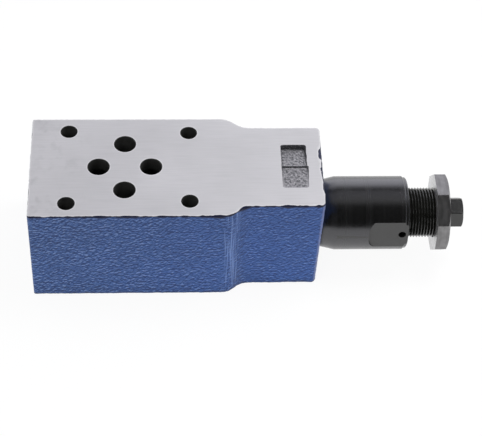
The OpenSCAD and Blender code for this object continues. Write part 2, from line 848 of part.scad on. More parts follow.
// Port ring squeezed flush in its recess
module port_ring(place) {
    h = recess_depth - 2 * face_gap;
    color(rubber_black) translate([place[0], place[1], recess_depth / 2])
        rotate_extrude($fn = round_fn) translate([port_ring_d / 2, 0]) {
            square([port_ring_w - h, h], center = true);
            for (side = [-1, 1])
                translate([side * (port_ring_w - h) / 2, 0]) circle(d = h, $fn = cord_fn);
        }
}

valve_body();
adjuster_sleeve();
set_spindle();
lock_nut();
spindle_o_ring();
spindle_backup_ring();
retaining_ring();
sleeve_o_ring();
spring_seat();
thrust_ball();
main_spring();
spring_plate();
control_spool();
damping_orifice();
end_plug();
end_plug_o_ring();
port_ring(port_p);  // port_ring_p
port_ring(port_t);  // port_ring_t
port_ring(port_a);  // port_ring_a
port_ring(port_b);  // port_ring_b
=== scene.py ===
import bpy
import bmesh
import json
import math
from functools import partial
from mathutils import Matrix, Vector, kdtree, noise
from mathutils.geometry import delaunay_2d_cdt


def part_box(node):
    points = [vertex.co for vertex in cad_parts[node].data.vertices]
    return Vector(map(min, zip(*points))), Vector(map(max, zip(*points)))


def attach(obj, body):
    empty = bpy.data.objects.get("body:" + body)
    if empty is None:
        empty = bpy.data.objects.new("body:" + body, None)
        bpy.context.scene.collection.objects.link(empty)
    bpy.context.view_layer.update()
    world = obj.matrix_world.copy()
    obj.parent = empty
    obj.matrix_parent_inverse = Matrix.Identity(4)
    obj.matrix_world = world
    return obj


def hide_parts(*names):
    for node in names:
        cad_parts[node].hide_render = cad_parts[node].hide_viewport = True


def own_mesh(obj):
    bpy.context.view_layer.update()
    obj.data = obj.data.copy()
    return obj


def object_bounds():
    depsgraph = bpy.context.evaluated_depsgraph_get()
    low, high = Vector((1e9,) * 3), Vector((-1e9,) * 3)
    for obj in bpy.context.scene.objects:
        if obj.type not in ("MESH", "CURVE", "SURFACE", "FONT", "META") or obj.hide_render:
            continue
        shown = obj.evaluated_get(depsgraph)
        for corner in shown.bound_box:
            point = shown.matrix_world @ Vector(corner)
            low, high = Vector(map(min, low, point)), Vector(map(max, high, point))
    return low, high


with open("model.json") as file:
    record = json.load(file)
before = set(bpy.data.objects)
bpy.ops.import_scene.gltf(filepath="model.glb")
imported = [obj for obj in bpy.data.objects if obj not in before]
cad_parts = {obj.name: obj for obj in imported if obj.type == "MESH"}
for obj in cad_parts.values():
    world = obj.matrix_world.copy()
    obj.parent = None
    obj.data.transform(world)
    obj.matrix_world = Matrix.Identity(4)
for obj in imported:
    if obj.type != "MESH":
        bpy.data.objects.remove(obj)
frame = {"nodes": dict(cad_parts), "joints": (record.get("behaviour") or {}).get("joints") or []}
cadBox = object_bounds()
print("frame loaded:", len(frame["nodes"]), "nodes")

mm = 0.001
tiny = 0.02 * mm
weldDistance = 0.002 * mm
flatAngle = 0.002
noiseLow, noiseHigh = 0.3, 0.7
bodyLow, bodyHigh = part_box("valve_body")
joints = {joint["name"]: joint for joint in frame["joints"]}
axisY, axisZ = joints["spindle_turn"]["pos_m"][1:]


# Small helpers for node trees and meshes

def treeOf(values):
    return next(value.id_data for value in values if isinstance(value, bpy.types.NodeSocket))


def addNode(tree, kind, inputs=None, **settings):
    node = tree.nodes.new(kind)
    for name, value in settings.items():
        setattr(node, name, value)
    for key, value in (inputs or {}).items():
        if isinstance(value, bpy.types.NodeSocket):
            tree.links.new(value, node.inputs[key])
        else:
            node.inputs[key].default_value = value
    return node.outputs


def link(value, socket):
    value.id_data.links.new(value, socket)


def calc(operation, *values):
    return addNode(treeOf(values), "ShaderNodeMath", dict(enumerate(values)), operation=operation)[0]


plus, minus, times, over = (partial(calc, name) for name in ("ADD", "SUBTRACT", "MULTIPLY", "DIVIDE"))


def ramp(value, low, high, toLow=0.0, toHigh=1.0, shape="SMOOTHSTEP"):
    inputs = {0: value, 1: low, 2: high, 3: toLow, 4: toHigh}
    return addNode(value.id_data, "ShaderNodeMapRange", inputs, interpolation_type=shape)[0]


# the usual span of a noise, brought to another one
def spread(value, toLow, toHigh, shape="SMOOTHSTEP"):
    return ramp(value, noiseLow, noiseHigh, toLow, toHigh, shape)


def grainNoise(vector, scale, detail=2.0, rough=0.55, seed=0.0, bend=0.0):
    inputs = {"Vector": vector, "W": seed, "Scale": scale, "Detail": detail, "Roughness": rough,
              "Distortion": bend}
    return addNode(vector.id_data, "ShaderNodeTexNoise", inputs, noise_dimensions="4D")[0]


def splitVector(vector):
    return addNode(vector.id_data, "ShaderNodeSeparateXYZ", {0: vector})


def joinVector(x, y, z):
    return addNode(treeOf((x, y, z)), "ShaderNodeCombineXYZ", {0: x, 1: y, 2: z})[0]


def stretched(place, stretch):
    x, y, z = splitVector(place)
    return joinVector(over(x, stretch), over(y, stretch), z)


def axisReach(y, z, middleY, middleZ):
    across, up = minus(y, middleY), minus(z, middleZ)
    return calc("SQRT", plus(calc("POWER", across, 2.0), calc("POWER", up, 2.0)))


def mixColor(share, first, second, blend="MIX"):
    inputs = {0: share, 6: first, 7: second}
    tree = treeOf(inputs.values())
    return addNode(tree, "ShaderNodeMix", inputs, data_type="RGBA", blend_type=blend)[2]


def shadeBy(color, level):
    return mixColor(1.0, color, joinVector(level, level, level), "MULTIPLY")


def newTree(name, inputs, outputs, kind="ShaderNodeTree"):
    tree = bpy.data.node_groups.new(name, kind)
    for inOut, sockets in (("INPUT", inputs), ("OUTPUT", outputs)):
        for label, socketType in sockets.items():
            tree.interface.new_socket(label, in_out=inOut, socket_type="NodeSocket" + socketType)
    given = tree.nodes.new("NodeGroupInput").outputs
    result = tree.nodes.new("NodeGroupOutput").inputs
    return tree, given, result


def newShapeTree(name, sizes, counts=()):
    inputs = {"Geometry": "Geometry", **dict.fromkeys(sizes, "Float"), **dict.fromkeys(counts, "Int"),
              "Axis Y": "Float", "Axis Z": "Float", "Material": "Material"}
    return newTree(name, inputs, {"Geometry": "Geometry"}, "GeometryNodeTree")


# a place at a distance from the adjuster's axis, across and up
def roundAxis(given, x, across, up, reach):
    return joinVector(x, plus(given["Axis Y"], times(across, reach)), plus(given["Axis Z"], times(up, reach)))


def storeValue(geometry, name, value):
    inputs = {"Geometry": geometry, "Name": name, "Value": value}
    return addNode(value.id_data, "GeometryNodeStoreNamedAttribute", inputs, data_type="FLOAT")[0]


def closeShapeTree(tree, geometry, given, result):
    real = addNode(tree, "GeometryNodeRealizeInstances", {"Geometry": geometry})[0]
    done = addNode(tree, "GeometryNodeSetMaterial", {"Geometry": real, "Material": given["Material"]})
    link(done[0], result["Geometry"])
    return tree


def newObject(name, data):
    item = bpy.data.objects.new(name, data)
    bpy.context.scene.collection.objects.link(item)
    return item


def bakeNodes(name, base, tree, material, values):
    values = {**values, "Axis Y": axisY, "Axis Z": axisZ, "Material": material}
    piece = newObject(name, base)
    modifier = piece.modifiers.new(tree.name, "NODES")
    modifier.node_group = tree
    for item in tree.interface.items_tree:
        if item.item_type == "SOCKET" and item.in_out == "INPUT" and item.name in values:
            modifier[item.identifier] = values[item.name]
    depsgraph = bpy.context.evaluated_depsgraph_get()
    made = bpy.data.meshes.new_from_object(
        piece.evaluated_get(depsgraph), preserve_all_data_layers=True, depsgraph=depsgraph)
    piece.modifiers.remove(modifier)
    piece.data = made
    made.name = name
    return piece


def pieceFromMesh(name, bm, materials):
    mesh = bpy.data.meshes.new(name)
    bm.to_mesh(mesh)
    bm.free()
    for material in materials:
        mesh.materials.append(material)
    return newObject(name, mesh)


def mergedCopy(node):
    bm = bmesh.new()
    bm.from_mesh(frame["nodes"][node].data)
    for layer in list(bm.loops.layers.uv):
        bm.loops.layers.uv.remove(layer)
    bmesh.ops.remove_doubles(bm, verts=bm.verts, dist=weldDistance)
    return bm


def boundaryLoops(bm):
    bm.edges.index_update()
    edges = {e.index: e for e in bm.edges if len(e.link_faces) == 1}
    loops = []
    while edges:
        edge = edges.pop(min(edges))
        loop = [edge.verts[0], edge.verts[1]]
        while True:
            following = next((e for e in loop[-1].link_edges if e.index in edges), None)
            if following is None:
                break
            edges.pop(following.index)
            other = following.other_vert(loop[-1])
            if other is loop[0]:
                break
            loop.append(other)
        loops.append(loop)
    return loops


def clamp(value):
    return min(1, max(0, value))


def fromAxis(p):
    return math.hypot(p.y - axisY, p.z - axisZ)


# Shared shader groups

speckLook = dict(finer=2.3, span=(0.56, 0.7))
latheBands = 0.13


def objectPlace(tree):
    return addNode(tree, "ShaderNodeTexCoord")["Object"]


def buildToneDrift():
    tree, given, result = newTree(
        "toneDrift", dict(Color="Color", Scale="Float", Amount="Float"), dict(Color="Color"))
    drift = grainNoise(objectPlace(tree), given["Scale"], detail=3.0)
    level = spread(drift, minus(1.0, given["Amount"]), plus(1.0, given["Amount"]), "LINEAR")
    link(shadeBy(given["Color"], level), result["Color"])
    return tree


def buildFineGrain():
    tree, given, result = newTree(
        "fineGrain", dict(Size="Float", Stretch="Float", Seed="Float"), dict(Height="Float", Speck="Float"))
    flat = stretched(objectPlace(tree), given["Stretch"])
    scale = over(1.0, given["Size"])
    fine = grainNoise(flat, times(scale, speckLook["finer"]), detail=1.0, seed=given["Seed"])
    link(grainNoise(flat, scale, detail=3.0, rough=0.6, seed=given["Seed"]), result["Height"])
    link(ramp(fine, *speckLook["span"]), result["Speck"])
    return tree


def buildLatheMarks():
    tree, given, result = newTree(
        "latheMarks", dict(Pitch="Float", Seed="Float"), dict(Height="Float", Tone="Float"))
    x, y, z = splitVector(objectPlace(tree))
    lines = joinVector(x, axisReach(y, z, axisY, axisZ), 0.0)
    scale = over(1.0, given["Pitch"])
    link(grainNoise(lines, scale, detail=1.0, seed=given["Seed"]), result["Height"])
    link(grainNoise(lines, times(scale, latheBands), seed=given["Seed"]), result["Tone"])
    return tree


toneDrift = buildToneDrift()
fineGrain = buildFineGrain()
latheMarks = buildLatheMarks()


# Materials; toLight and its like hold the low, high, toLow and toHigh of a ramp

def emptyTree(block):
    block.use_nodes = True
    block.node_tree.nodes.clear()
    return block.node_tree


def newMaterial(name):
    material = bpy.data.materials.new(name)
    return material, emptyTree(material)


def finishMaterial(material, inputs):
    surface = addNode(material.node_tree, "ShaderNodeBsdfPrincipled", inputs)
    addNode(material.node_tree, "ShaderNodeOutputMaterial", {"Surface": surface[0]})
    return material


def placeGroup(tree, group, values):
    return addNode(tree, "ShaderNodeGroup", values, node_tree=group)


def drifting(tree, color, scale, amount):
    return placeGroup(tree, toneDrift, {"Color": color, "Scale": scale, "Amount": amount})["Color"]


def grainOf(tree, size, seed, stretch=1.0):
    return placeGroup(tree, fineGrain, {"Size": size, "Stretch": stretch, "Seed": seed})


def bumpOf(height, depth):
    inputs = {"Height": height, "Strength": 1.0, "Distance": depth}
    return addNode(height.id_data, "ShaderNodeBump", inputs)[0]


def readAttribute(tree, name):
    return addNode(tree, "ShaderNodeAttribute", attribute_name=name)["Fac"]


paint = dict(
    dark=(0.008, 0.030, 0.122, 1), light=(0.050, 0.112, 0.302, 1), crestHighlight=(0.18, 0.268, 0.50, 1),
    toLight=(0.38, 0.58), toCrestHighlight=(0.56, 0.70, 0.0, 0.8), middle=0.49, contrast=(1.2, 0.75),
    edge=(0.006, 0.008, 0.028, 1), cornerReflection=(0.30, 0.33, 0.54, 1), cornerReflectionShare=0.55,
    grain=0.5 * mm, grainStretch=1.5, grainSeed=3.0, shadedReliefShare=0.62, grainShare=0.38, bump=0.18 * mm,
    streak=0.34 * mm, streakRun=0.02, streakSeed=6.0, toStreak=(0.5, 0.64, 0.0, 0.8), drift=(60.0, 0.08),
    adjusterTint=(0.98, 1.06, 1.18, 1), level=(1.13, 0.94), rough=(0.34, 0.5), shine=0.25)


def makeBluePaint():
    material, tree = newMaterial("bluePaint")
    grain = grainOf(tree, paint["grain"], paint["grainSeed"], paint["grainStretch"])
    level = plus(times(readAttribute(tree, "shadedRelief"), paint["shadedReliefShare"]),
                 times(grain["Height"], paint["grainShare"]))
    # the grain is plainer and the blue fuller towards the adjuster
    x, y, z = splitVector(objectPlace(tree))
    contrast = ramp(x, bodyLow.x, bodyHigh.x, *paint["contrast"])
    level = calc("MULTIPLY_ADD", minus(level, paint["middle"]), contrast, paint["middle"])
    # the paint runs from its dark to its light tone with the painted light and shade of the relief and with
    # the grain, and takes a painted highlight on the crests
    body = mixColor(ramp(level, *paint["toLight"]), paint["dark"], paint["light"])
    body = mixColor(ramp(level, *paint["toCrestHighlight"]), body, paint["crestHighlight"])
    # drawn streaks down the shoulders, real marks painted as highlight lines
    drawn = joinVector(x, y, times(z, paint["streakRun"]))
    streak = grainNoise(drawn, 1 / paint["streak"], detail=1.0, seed=paint["streakSeed"])
    lines = times(ramp(streak, *paint["toStreak"]), readAttribute(tree, "drawn"))
    body = drifting(tree, mixColor(lines, body, paint["crestHighlight"]), *paint["drift"])
    body = mixColor(ramp(x, bodyLow.x, bodyHigh.x), body, paint["adjusterTint"], "MULTIPLY")
    # painted light: lighter towards the bottom of the wall, as light thrown up by the floor
    body = shadeBy(body, ramp(z, 0.0, bodyHigh.z, *paint["level"]))
    # painted reflection on the rounded corners by the adjuster
    body = mixColor(times(readAttribute(tree, "cornerReflection"), paint["cornerReflectionShare"]), body, paint["cornerReflection"])
    # the edge colour is painted shade along the ground edges and in the nicks
    return finishMaterial(material, {
        "Base Color": mixColor(readAttribute(tree, "edgeShade"), body, paint["edge"]),
        "Roughness": spread(grain["Height"], *paint["rough"]), "Specular IOR Level": paint["shine"],
        "Normal": bumpOf(grain["Height"], paint["bump"])})


ground = dict(
    color=(0.450, 0.445, 0.462, 1), drift=(45.0, 0.05), metal=0.4, rough=(0.44, 0.52), bump=0.002 * mm,
    streak=0.5 * mm, streakRun=0.04, streakSeed=5.0, streakTone=(0.96, 1.04),
    darkSpots=(0.30, 0.295, 0.31, 1), darkSpotsScale=210.0, darkSpotsSeed=2.0, toDarkSpots=(0.53, 0.74, 0.0, 0.35),
    darkSpotsRun=(-10 * mm, -20 * mm), rim=(0.60, 0.60, 0.61, 1), rimHighlightShare=0.8)


def makeGroundIron():
    material, tree = newMaterial("groundIron")
    place = objectPlace(tree)
    x, y, z = splitVector(place)
    along = joinVector(times(x, ground["streakRun"]), y, z)
    streak = grainNoise(along, 1 / ground["streak"], detail=3.0, seed=ground["streakSeed"])
    body = drifting(tree, ground["color"], *ground["drift"])
    body = shadeBy(body, spread(streak, *ground["streakTone"]))
    # darker spots, more of them towards the plain end
    spots = grainNoise(place, ground["darkSpotsScale"], detail=3.0, seed=ground["darkSpotsSeed"])
    darkSpots = times(ramp(spots, *ground["toDarkSpots"]), ramp(x, *ground["darkSpotsRun"]))
    body = mixColor(darkSpots, body, ground["darkSpots"])
    # a painted highlight along the rims of the holes and of the outline
    rim = times(readAttribute(tree, "rim"), ground["rimHighlightShare"])
    return finishMaterial(material, {
        "Base Color": mixColor(rim, body, ground["rim"]), "Metallic": ground["metal"],
        "Roughness": spread(streak, *ground["rough"]), "Normal": bumpOf(streak, ground["bump"])})


pocketFinish = dict(
    dark=(0.032, 0.032, 0.037, 1), light=(0.197, 0.193, 0.209, 1), toLight=(0.35, 0.85),
    speck=(0.6, 0.6, 0.62, 1), speckShare=0.35, grain=0.6 * mm, grainSeed=13.0, shadedReliefShare=0.8,
    grainShare=0.4, rough=(0.55, 0.75), bump=0.05 * mm)


def makeCastPocket():
    look = pocketFinish
    material, tree = newMaterial("castPocket")
    grain = grainOf(tree, look["grain"], look["grainSeed"])
    # the floor's tone follows its relief attribute, which holds painted shade and light as well as the grain
    level = plus(times(readAttribute(tree, "shadedRelief"), look["shadedReliefShare"]),
                 times(grain["Height"], look["grainShare"]))
    body = mixColor(ramp(level, *look["toLight"]), look["dark"], look["light"])
    return finishMaterial(material, {
        "Base Color": mixColor(times(grain["Speck"], look["speckShare"]), body, look["speck"]),
        "Roughness": spread(grain["Height"], *look["rough"]),
        "Normal": bumpOf(grain["Height"], look["bump"])})


turnedDrift = 220.0


def makeTurned(name, color, rough, pitch, bump, tone, seed, metal=0.0, ior=1.5, drift=0.12,
               tint=(1, 1, 1, 1)):
    material, tree = newMaterial(name)
    marks = placeGroup(tree, latheMarks, {"Pitch": pitch, "Seed": seed})
    body = drifting(tree, color, turnedDrift, drift)
    return finishMaterial(material, {
        "Base Color": shadeBy(body, spread(marks["Tone"], 1 - tone, 1 + tone)),
        "Roughness": spread(marks["Tone"], rough * 0.88, rough * 1.14), "Metallic": metal, "IOR": ior,
        "Specular Tint": tint, "Normal": bumpOf(marks["Height"], bump)})


threadFinish = dict(color=(0.0085, 0.0085, 0.0075, 1), drift=0.12, rough=0.26, ior=1.95, rootShine=0.02,
                    toBright=(0.25, 0.72, 1.0, 0.0))


# the roots of the thread get no coat and stay dark as painted shade in the grooves, and the crests keep a
# bright coat
def makeThreadOxide():
    look = threadFinish
    material, tree = newMaterial("threadOxide")
    return finishMaterial(material, {
        "Base Color": drifting(tree, look["color"], turnedDrift, look["drift"]), "Roughness": look["rough"],
        "Specular IOR Level": look["rootShine"], "Coat Roughness": look["rough"], "Coat IOR": look["ior"],
        "Coat Weight": ramp(readAttribute(tree, "root"), *look["toBright"])})


def makeMatte(name, color, rough, grain, bump, seed, drift=(250.0, 0.15), shine=0.5):
    material, tree = newMaterial(name)
    height = grainOf(tree, grain, seed)["Height"]
    return finishMaterial(material, {
        "Base Color": drifting(tree, color, *drift), "Roughness": spread(height, *rough),
        "Specular IOR Level": shine, "Normal": bumpOf(height, bump)})


bluePaint = makeBluePaint()
groundIron = makeGroundIron()
# the bores take a near-black iron: painted shade inside the holes and passages
shadedBoreIron = makeMatte(
    "shadedBoreIron", (0.030, 0.030, 0.029, 1), rough=(0.45, 0.65), grain=0.4 * mm, bump=0.01 * mm, seed=9.0,
    drift=(300.0, 0.3), shine=0.25)
castPocket = makeCastPocket()
blackOxide = makeTurned(
    "blackOxide", (0.005, 0.005, 0.005, 1), rough=0.25, pitch=0.16 * mm, bump=0.0014 * mm,
    tone=0.2, seed=1.0, ior=1.88, tint=(0.95, 0.95, 1, 1))
oxideFlat = makeTurned(
    "oxideFlat", (0.022, 0.022, 0.022, 1), rough=0.34, pitch=0.5 * mm, bump=0.001 * mm,
    tone=0.1, seed=2.0, ior=1.69)
nutBright = makeTurned(
    "nutBright", (0.62, 0.62, 0.625, 1), rough=0.36, pitch=0.25 * mm, bump=0.002 * mm,
    tone=0.12, seed=5.0, metal=0.92)
nutSteel = makeTurned(
    "nutSteel", (0.222, 0.219, 0.222, 1), rough=0.34, pitch=0.2 * mm, bump=0.002 * mm,
    tone=0.14, seed=4.0, metal=0.92, drift=0.25)
threadOxide = makeThreadOxide()
hexOxide = makeTurned(
    "hexOxide", (0.0085, 0.0085, 0.008, 1), rough=0.36, pitch=0.3 * mm, bump=0.002 * mm,
    tone=0.15, seed=6.0, ior=1.75)
groundSteel = makeTurned(
    "groundSteel", (0.58, 0.58, 0.59, 1), rough=0.24, pitch=0.12 * mm, bump=0.001 * mm,
    tone=0.06, seed=7.0, metal=1.0)
springSteel = makeTurned(
    "springSteel", (0.26, 0.26, 0.28, 1), rough=0.38, pitch=0.4 * mm, bump=0.001 * mm,
    tone=0.1, seed=8.0, metal=1.0)
sealRubber = makeMatte(
    "sealRubber", (0.014, 0.014, 0.014, 1), rough=(0.54, 0.66), grain=0.3 * mm, bump=0.004 * mm,
    seed=21.0)
backupPlastic = makeMatte(
    "backupPlastic", (0.80, 0.79, 0.73, 1), rough=(0.405, 0.495), grain=0.5 * mm, bump=0.003 * mm,
    seed=22.0)
print("materials made:", len(bpy.data.materials))


# Cast body: outline, rough painted wall, ground faces, holes and the bare pocket

castBody = dict(
    narrowWidth=35.5 * mm, shoulderX=36 * mm, shoulderLength=10.5 * mm, endSlope=math.tan(math.radians(1.6)),
    endCornerR=1.5 * mm, plainCornerR=0.8 * mm, step=0.5 * mm, rowStep=0.33 * mm, leanRun=8 * mm,
    edgeRows=[0, 0.1 * mm, 0.24 * mm, 0.44 * mm, 0.7 * mm], streakSetback=1.9 * mm,
    rimWidth=0.45 * mm, rimLimit=2 * mm, recessRim=0.2 * mm, holeChamfer=0.16 * mm,
    plugSpotR=9.2 * mm, sleeveSpotR=12.9 * mm, spotMargin=0.5 * mm, endMargin=0.7 * mm, faceMargin=2 * mm,
    skin={
        "Grain Size": 0.8 * mm, "Grain Stretch": 1.3, "Grain Depth": 0.18 * mm,
        "Light Rise": 0.27 * mm, "Light Gain": 2.5, "Wave Size": 9 * mm, "Wave Depth": 0.05 * mm,
        "Edge Height": 0.5 * mm, "Edge Depth": 0.10 * mm, "Ripple Size": 3 * mm,
        "Nick Size": 3.5 * mm, "Nick Depth": 0.55 * mm, "Nick Height": 0.8 * mm,
        "Nick Start": -12.5 * mm, "Nick Stop": 8 * mm,
        "Chip Y": 5.3 * mm, "Chip Length": 6.6 * mm, "Chip Depth": 1.1 * mm,
        "Small Chip Y": -1.6 * mm, "Small Chip Length": 3 * mm, "Small Chip Depth": 0.75 * mm, "Seed": 4.0,
    },
    wear=dict(
        endFacing=0.8, grain=dict(rough=0.5, bend=0.5), edgeRough=0.6, edgeRun=0.1, nickDetail=2.5,
        drawn=(3.2 * mm, 1.8 * mm), plainEnd=(-0.5, -0.9, 1.0, 0.4), spotBlend=0.8 * mm,
        nearSide=(0.2, -0.2, 0.1, 1.0), shoulder=(18 * mm, 34 * mm, 1.35, 2.0), ripple=(-0.6, 3.0),
        foot=(5 * mm, 15 * mm, 0.3, 1.0), footShade=(5 * mm, 15 * mm, 0.35, 1.0),
        nick=(0.36, 0.62, 0.35, 1.0), startRun=3 * mm, stopRun=1.5 * mm, chipSpan=(0.5, 0.2),
        shadeHeight=0.95 * mm, shadeRipple=(0.35, 1.0), shadeFull=0.55, nickShade=(0.04 * mm, 0.2 * mm),
        cornerReflection=(50 * mm, 56 * mm), cornerStart=(0.3, 0.75), cornerStop=(0.995, 0.93),
    ),
)
wallMarks = ("shadedRelief", "edgeShade", "cornerReflection", "drawn")
paintIndex, groundIndex, boreIndex, pocketIndex = range(4)


def linePoints(start, stop, step=castBody["step"]):
    start, stop = Vector(start), Vector(stop)
    count = max(1, round((stop - start).length / step))
    return [start.lerp(stop, i / count) for i in range(count)]


def onCircle(centre, radius, degrees):
    angle = math.radians(degrees)
    return Vector((centre[0] + radius * math.cos(angle), centre[1] + radius * math.sin(angle)))


def arcPoints(centre, radius, fromDeg, toDeg, step=castBody["step"]):
    count = max(3, round(abs(math.radians(toDeg - fromDeg)) * radius / step))
    return [onCircle(centre, radius, fromDeg + (toDeg - fromDeg) * i / count) for i in range(count)]


def bodyOutline():
    x0, x1, wide = bodyLow.x, bodyHigh.x, bodyHigh.y
    narrow = castBody["narrowWidth"] / 2
    r0, r1 = castBody["plainCornerR"], castBody["endCornerR"]
    length = castBody["shoulderLength"]
    drop = wide - narrow
    radius = (length ** 2 + drop ** 2) / (4 * drop)
    swing = math.degrees(math.asin(length / (2 * radius)))
    start, stop = castBody["shoulderX"] - length / 2, castBody["shoulderX"] + length / 2
    half = linePoints((x0, 0), (x0, r0 - wide))
    half += arcPoints((x0 + r0, r0 - wide), r0, 180, 270)
    half += linePoints((x0 + r0, -wide), (start, -wide))
    half += arcPoints((start, radius - wide), radius, 270, 270 + swing)
    half += arcPoints((stop, -narrow - radius), radius, 90 + swing, 90)
    half += linePoints((stop, -narrow), (x1 - r1, -narrow))
    half += arcPoints((x1 - r1, r1 - narrow), r1, 270, 360)
    half += linePoints((x1, r1 - narrow), (x1, 0))
    return half + [Vector((x1, 0))] + [Vector((p.x, -p.y)) for p in reversed(half[1:])]


def endLean(x, z):
    share = (x - bodyHigh.x + castBody["leanRun"]) / (castBody["leanRun"] - castBody["endCornerR"])
    return clamp(share) * castBody["endSlope"] * (bodyHigh.z - z)


def outlineNormals(points):
    normals = []
    for i in range(len(points)):
        run = points[(i + 1) % len(points)] - points[i - 1]
        normals.append(Vector((run.y, -run.x)).normalized())
    return normals


def swingBy(value, depth):
    return times(minus(value, 0.5), times(depth, 2.0))


def buildCastSkin():
    wear = castBody["wear"]
    tree, given, result = newShapeTree("castSkin", list(castBody["skin"]) + [
        "Body Height", "Plug Spot", "Sleeve Spot", "Streak X"])
    seed = given["Seed"]
    place = addNode(tree, "GeometryNodeInputPosition")[0]
    x, y, z = splitVector(place)
    outward = addNode(tree, "GeometryNodeInputNamedAttribute", {"Name": "outward"},
                      data_type="FLOAT_VECTOR")["Attribute"]
    outX, outY = splitVector(outward)[:2]
    # grain that lies along the wall, and how much each spot of it faces the light from above, kept for the
    # paint as painted light and shade
    flat = stretched(place, given["Grain Stretch"])
    lift = joinVector(0.0, 0.0, given["Light Rise"])
    raised = addNode(tree, "ShaderNodeVectorMath", {0: flat, 1: lift}, operation="ADD")[0]
    scale = over(1.0, given["Grain Size"])
    grain, above = (grainNoise(spot, scale, seed=seed, **wear["grain"]) for spot in (flat, raised))
    lit = calc("MULTIPLY_ADD", minus(grain, above), given["Light Gain"], 0.5)
    drawn = ramp(calc("ABSOLUTE", minus(x, given["Streak X"])), *wear["drawn"])
    wave = grainNoise(place, over(1.0, given["Wave Size"]), detail=1.0, seed=seed)
    rise = plus(swingBy(grain, given["Grain Depth"]), swingBy(wave, given["Wave Depth"]))
    rise = times(rise, ramp(outX, *wear["plainEnd"]))
    # the machined spots round the two axis holes stay flat
    atPlug = calc("LESS_THAN", outX, -wear["endFacing"])
    atSleeve = calc("GREATER_THAN", outX, wear["endFacing"])
    spot = plus(times(atPlug, given["Plug Spot"]), times(atSleeve, given["Sleeve Spot"]))
    reach = axisReach(y, z, given["Axis Y"], given["Axis Z"])
    clear = ramp(reach, spot, plus(spot, wear["spotBlend"]))
    keep = addNode(tree, "ShaderNodeMix", {0: plus(atPlug, atSleeve), 2: 1.0, 3: clear})[0]
    # edges of the ground faces: a small uneven round, and nicks at the adjuster end
    below = minus(given["Body Height"], z)
    drop = calc("MINIMUM", z, below)
    along = joinVector(x, y, times(z, wear["edgeRun"]))
    ripple = grainNoise(along, over(1.0, given["Ripple Size"]), rough=wear["edgeRough"], seed=seed)
    pastShoulder = ramp(x, *wear["shoulder"])
    rugged = times(times(ramp(outY, *wear["nearSide"]), pastShoulder), ramp(z, *wear["foot"]))
    rugged = times(rugged, spread(ripple, *wear["ripple"]))
    edge = times(ramp(drop, given["Edge Height"], 0.0), times(given["Edge Depth"], rugged))
    uneven = grainNoise(along, over(1.0, given["Nick Size"]), detail=wear["nickDetail"],
                        rough=wear["edgeRough"], seed=seed)
    stretch = times(ramp(y, given["Nick Stop"], minus(given["Nick Stop"], wear["stopRun"])),
                    ramp(y, given["Nick Start"], plus(given["Nick Start"], wear["startRun"])))
    nick = times(given["Nick Depth"], times(stretch, ramp(uneven, *wear["nick"])))
    for chip in ("Chip", "Small Chip"):
        aside = calc("ABSOLUTE", minus(y, given[chip + " Y"]))
        outer, inner = (times(given[chip + " Length"], share) for share in wear["chipSpan"])
        nick = calc("MAXIMUM", nick, ramp(aside, outer, inner, 0.0, given[chip + " Depth"]))
    nick = times(nick, times(atSleeve, ramp(below, given["Nick Height"], 0.0)))
    move = minus(times(rise, keep), plus(edge, nick))
    offset = addNode(tree, "ShaderNodeVectorMath", {0: outward, "Scale": move}, operation="SCALE")[0]
    moved = addNode(tree, "GeometryNodeSetPosition", {"Geometry": given["Geometry"], "Offset": offset})[0]
    # what the paint reads: painted light and shade on the grain, painted shade at the ground edges and in the
    # nicks, and a painted reflection on the rounded corners by the adjuster
    shadeHeight = times(times(pastShoulder, spread(ripple, *wear["shadeRipple"])), wear["shadeHeight"])
    shadeLine = ramp(drop, shadeHeight, times(shadeHeight, wear["shadeFull"]))
    shadeLine = times(shadeLine, ramp(z, *wear["footShade"]))
    shade = calc("MAXIMUM", shadeLine, ramp(nick, *wear["nickShade"]))
    # a painted reflection on the rounded corners by the adjuster
    corner = times(ramp(outX, *wear["cornerStart"]), ramp(outX, *wear["cornerStop"]))
    cornerReflection = times(ramp(x, *wear["cornerReflection"]), corner)
    for name, value in zip(wallMarks, (lit, shade, cornerReflection, drawn)):
        moved = storeValue(moved, name, value)
    return closeShapeTree(tree, moved, given, result)


def wallRows(height):
    edges = castBody["edgeRows"]
    inner = height - 2 * edges[-1]
    count = round(inner / castBody["rowStep"])
    middle = [edges[-1] + inner * i / count for i in range(1, count)]
    return edges + middle + [height - e for e in reversed(edges)]


def castWall(outline, normals):
    rows = wallRows(bodyHigh.z)
    around = len(outline)
    verts = [(p.x - endLean(p.x, z), p.y, z) for z in rows for p in outline]
    faces = []
    for r in range(len(rows) - 1):
        for c in range(around):
            n = (c + 1) % around
            faces.append((r * around + c, r * around + n, (r + 1) * around + n, (r + 1) * around + c))
    base = bpy.data.meshes.new("castWall")
    base.from_pydata(verts, [], faces)
    outward = base.attributes.new("outward", "FLOAT_VECTOR", "POINT")
    outward.data.foreach_set("vector", [v for _ in rows for n in normals for v in (n.x, n.y, 0.0)])
    values = {
        **castBody["skin"], "Body Height": bodyHigh.z,
        "Plug Spot": castBody["plugSpotR"], "Sleeve Spot": castBody["sleeveSpotR"],
        "Streak X": castBody["shoulderX"] - castBody["streakSetback"],
    }
    return bakeNodes("castWall", base, buildCastSkin(), bluePaint, values)


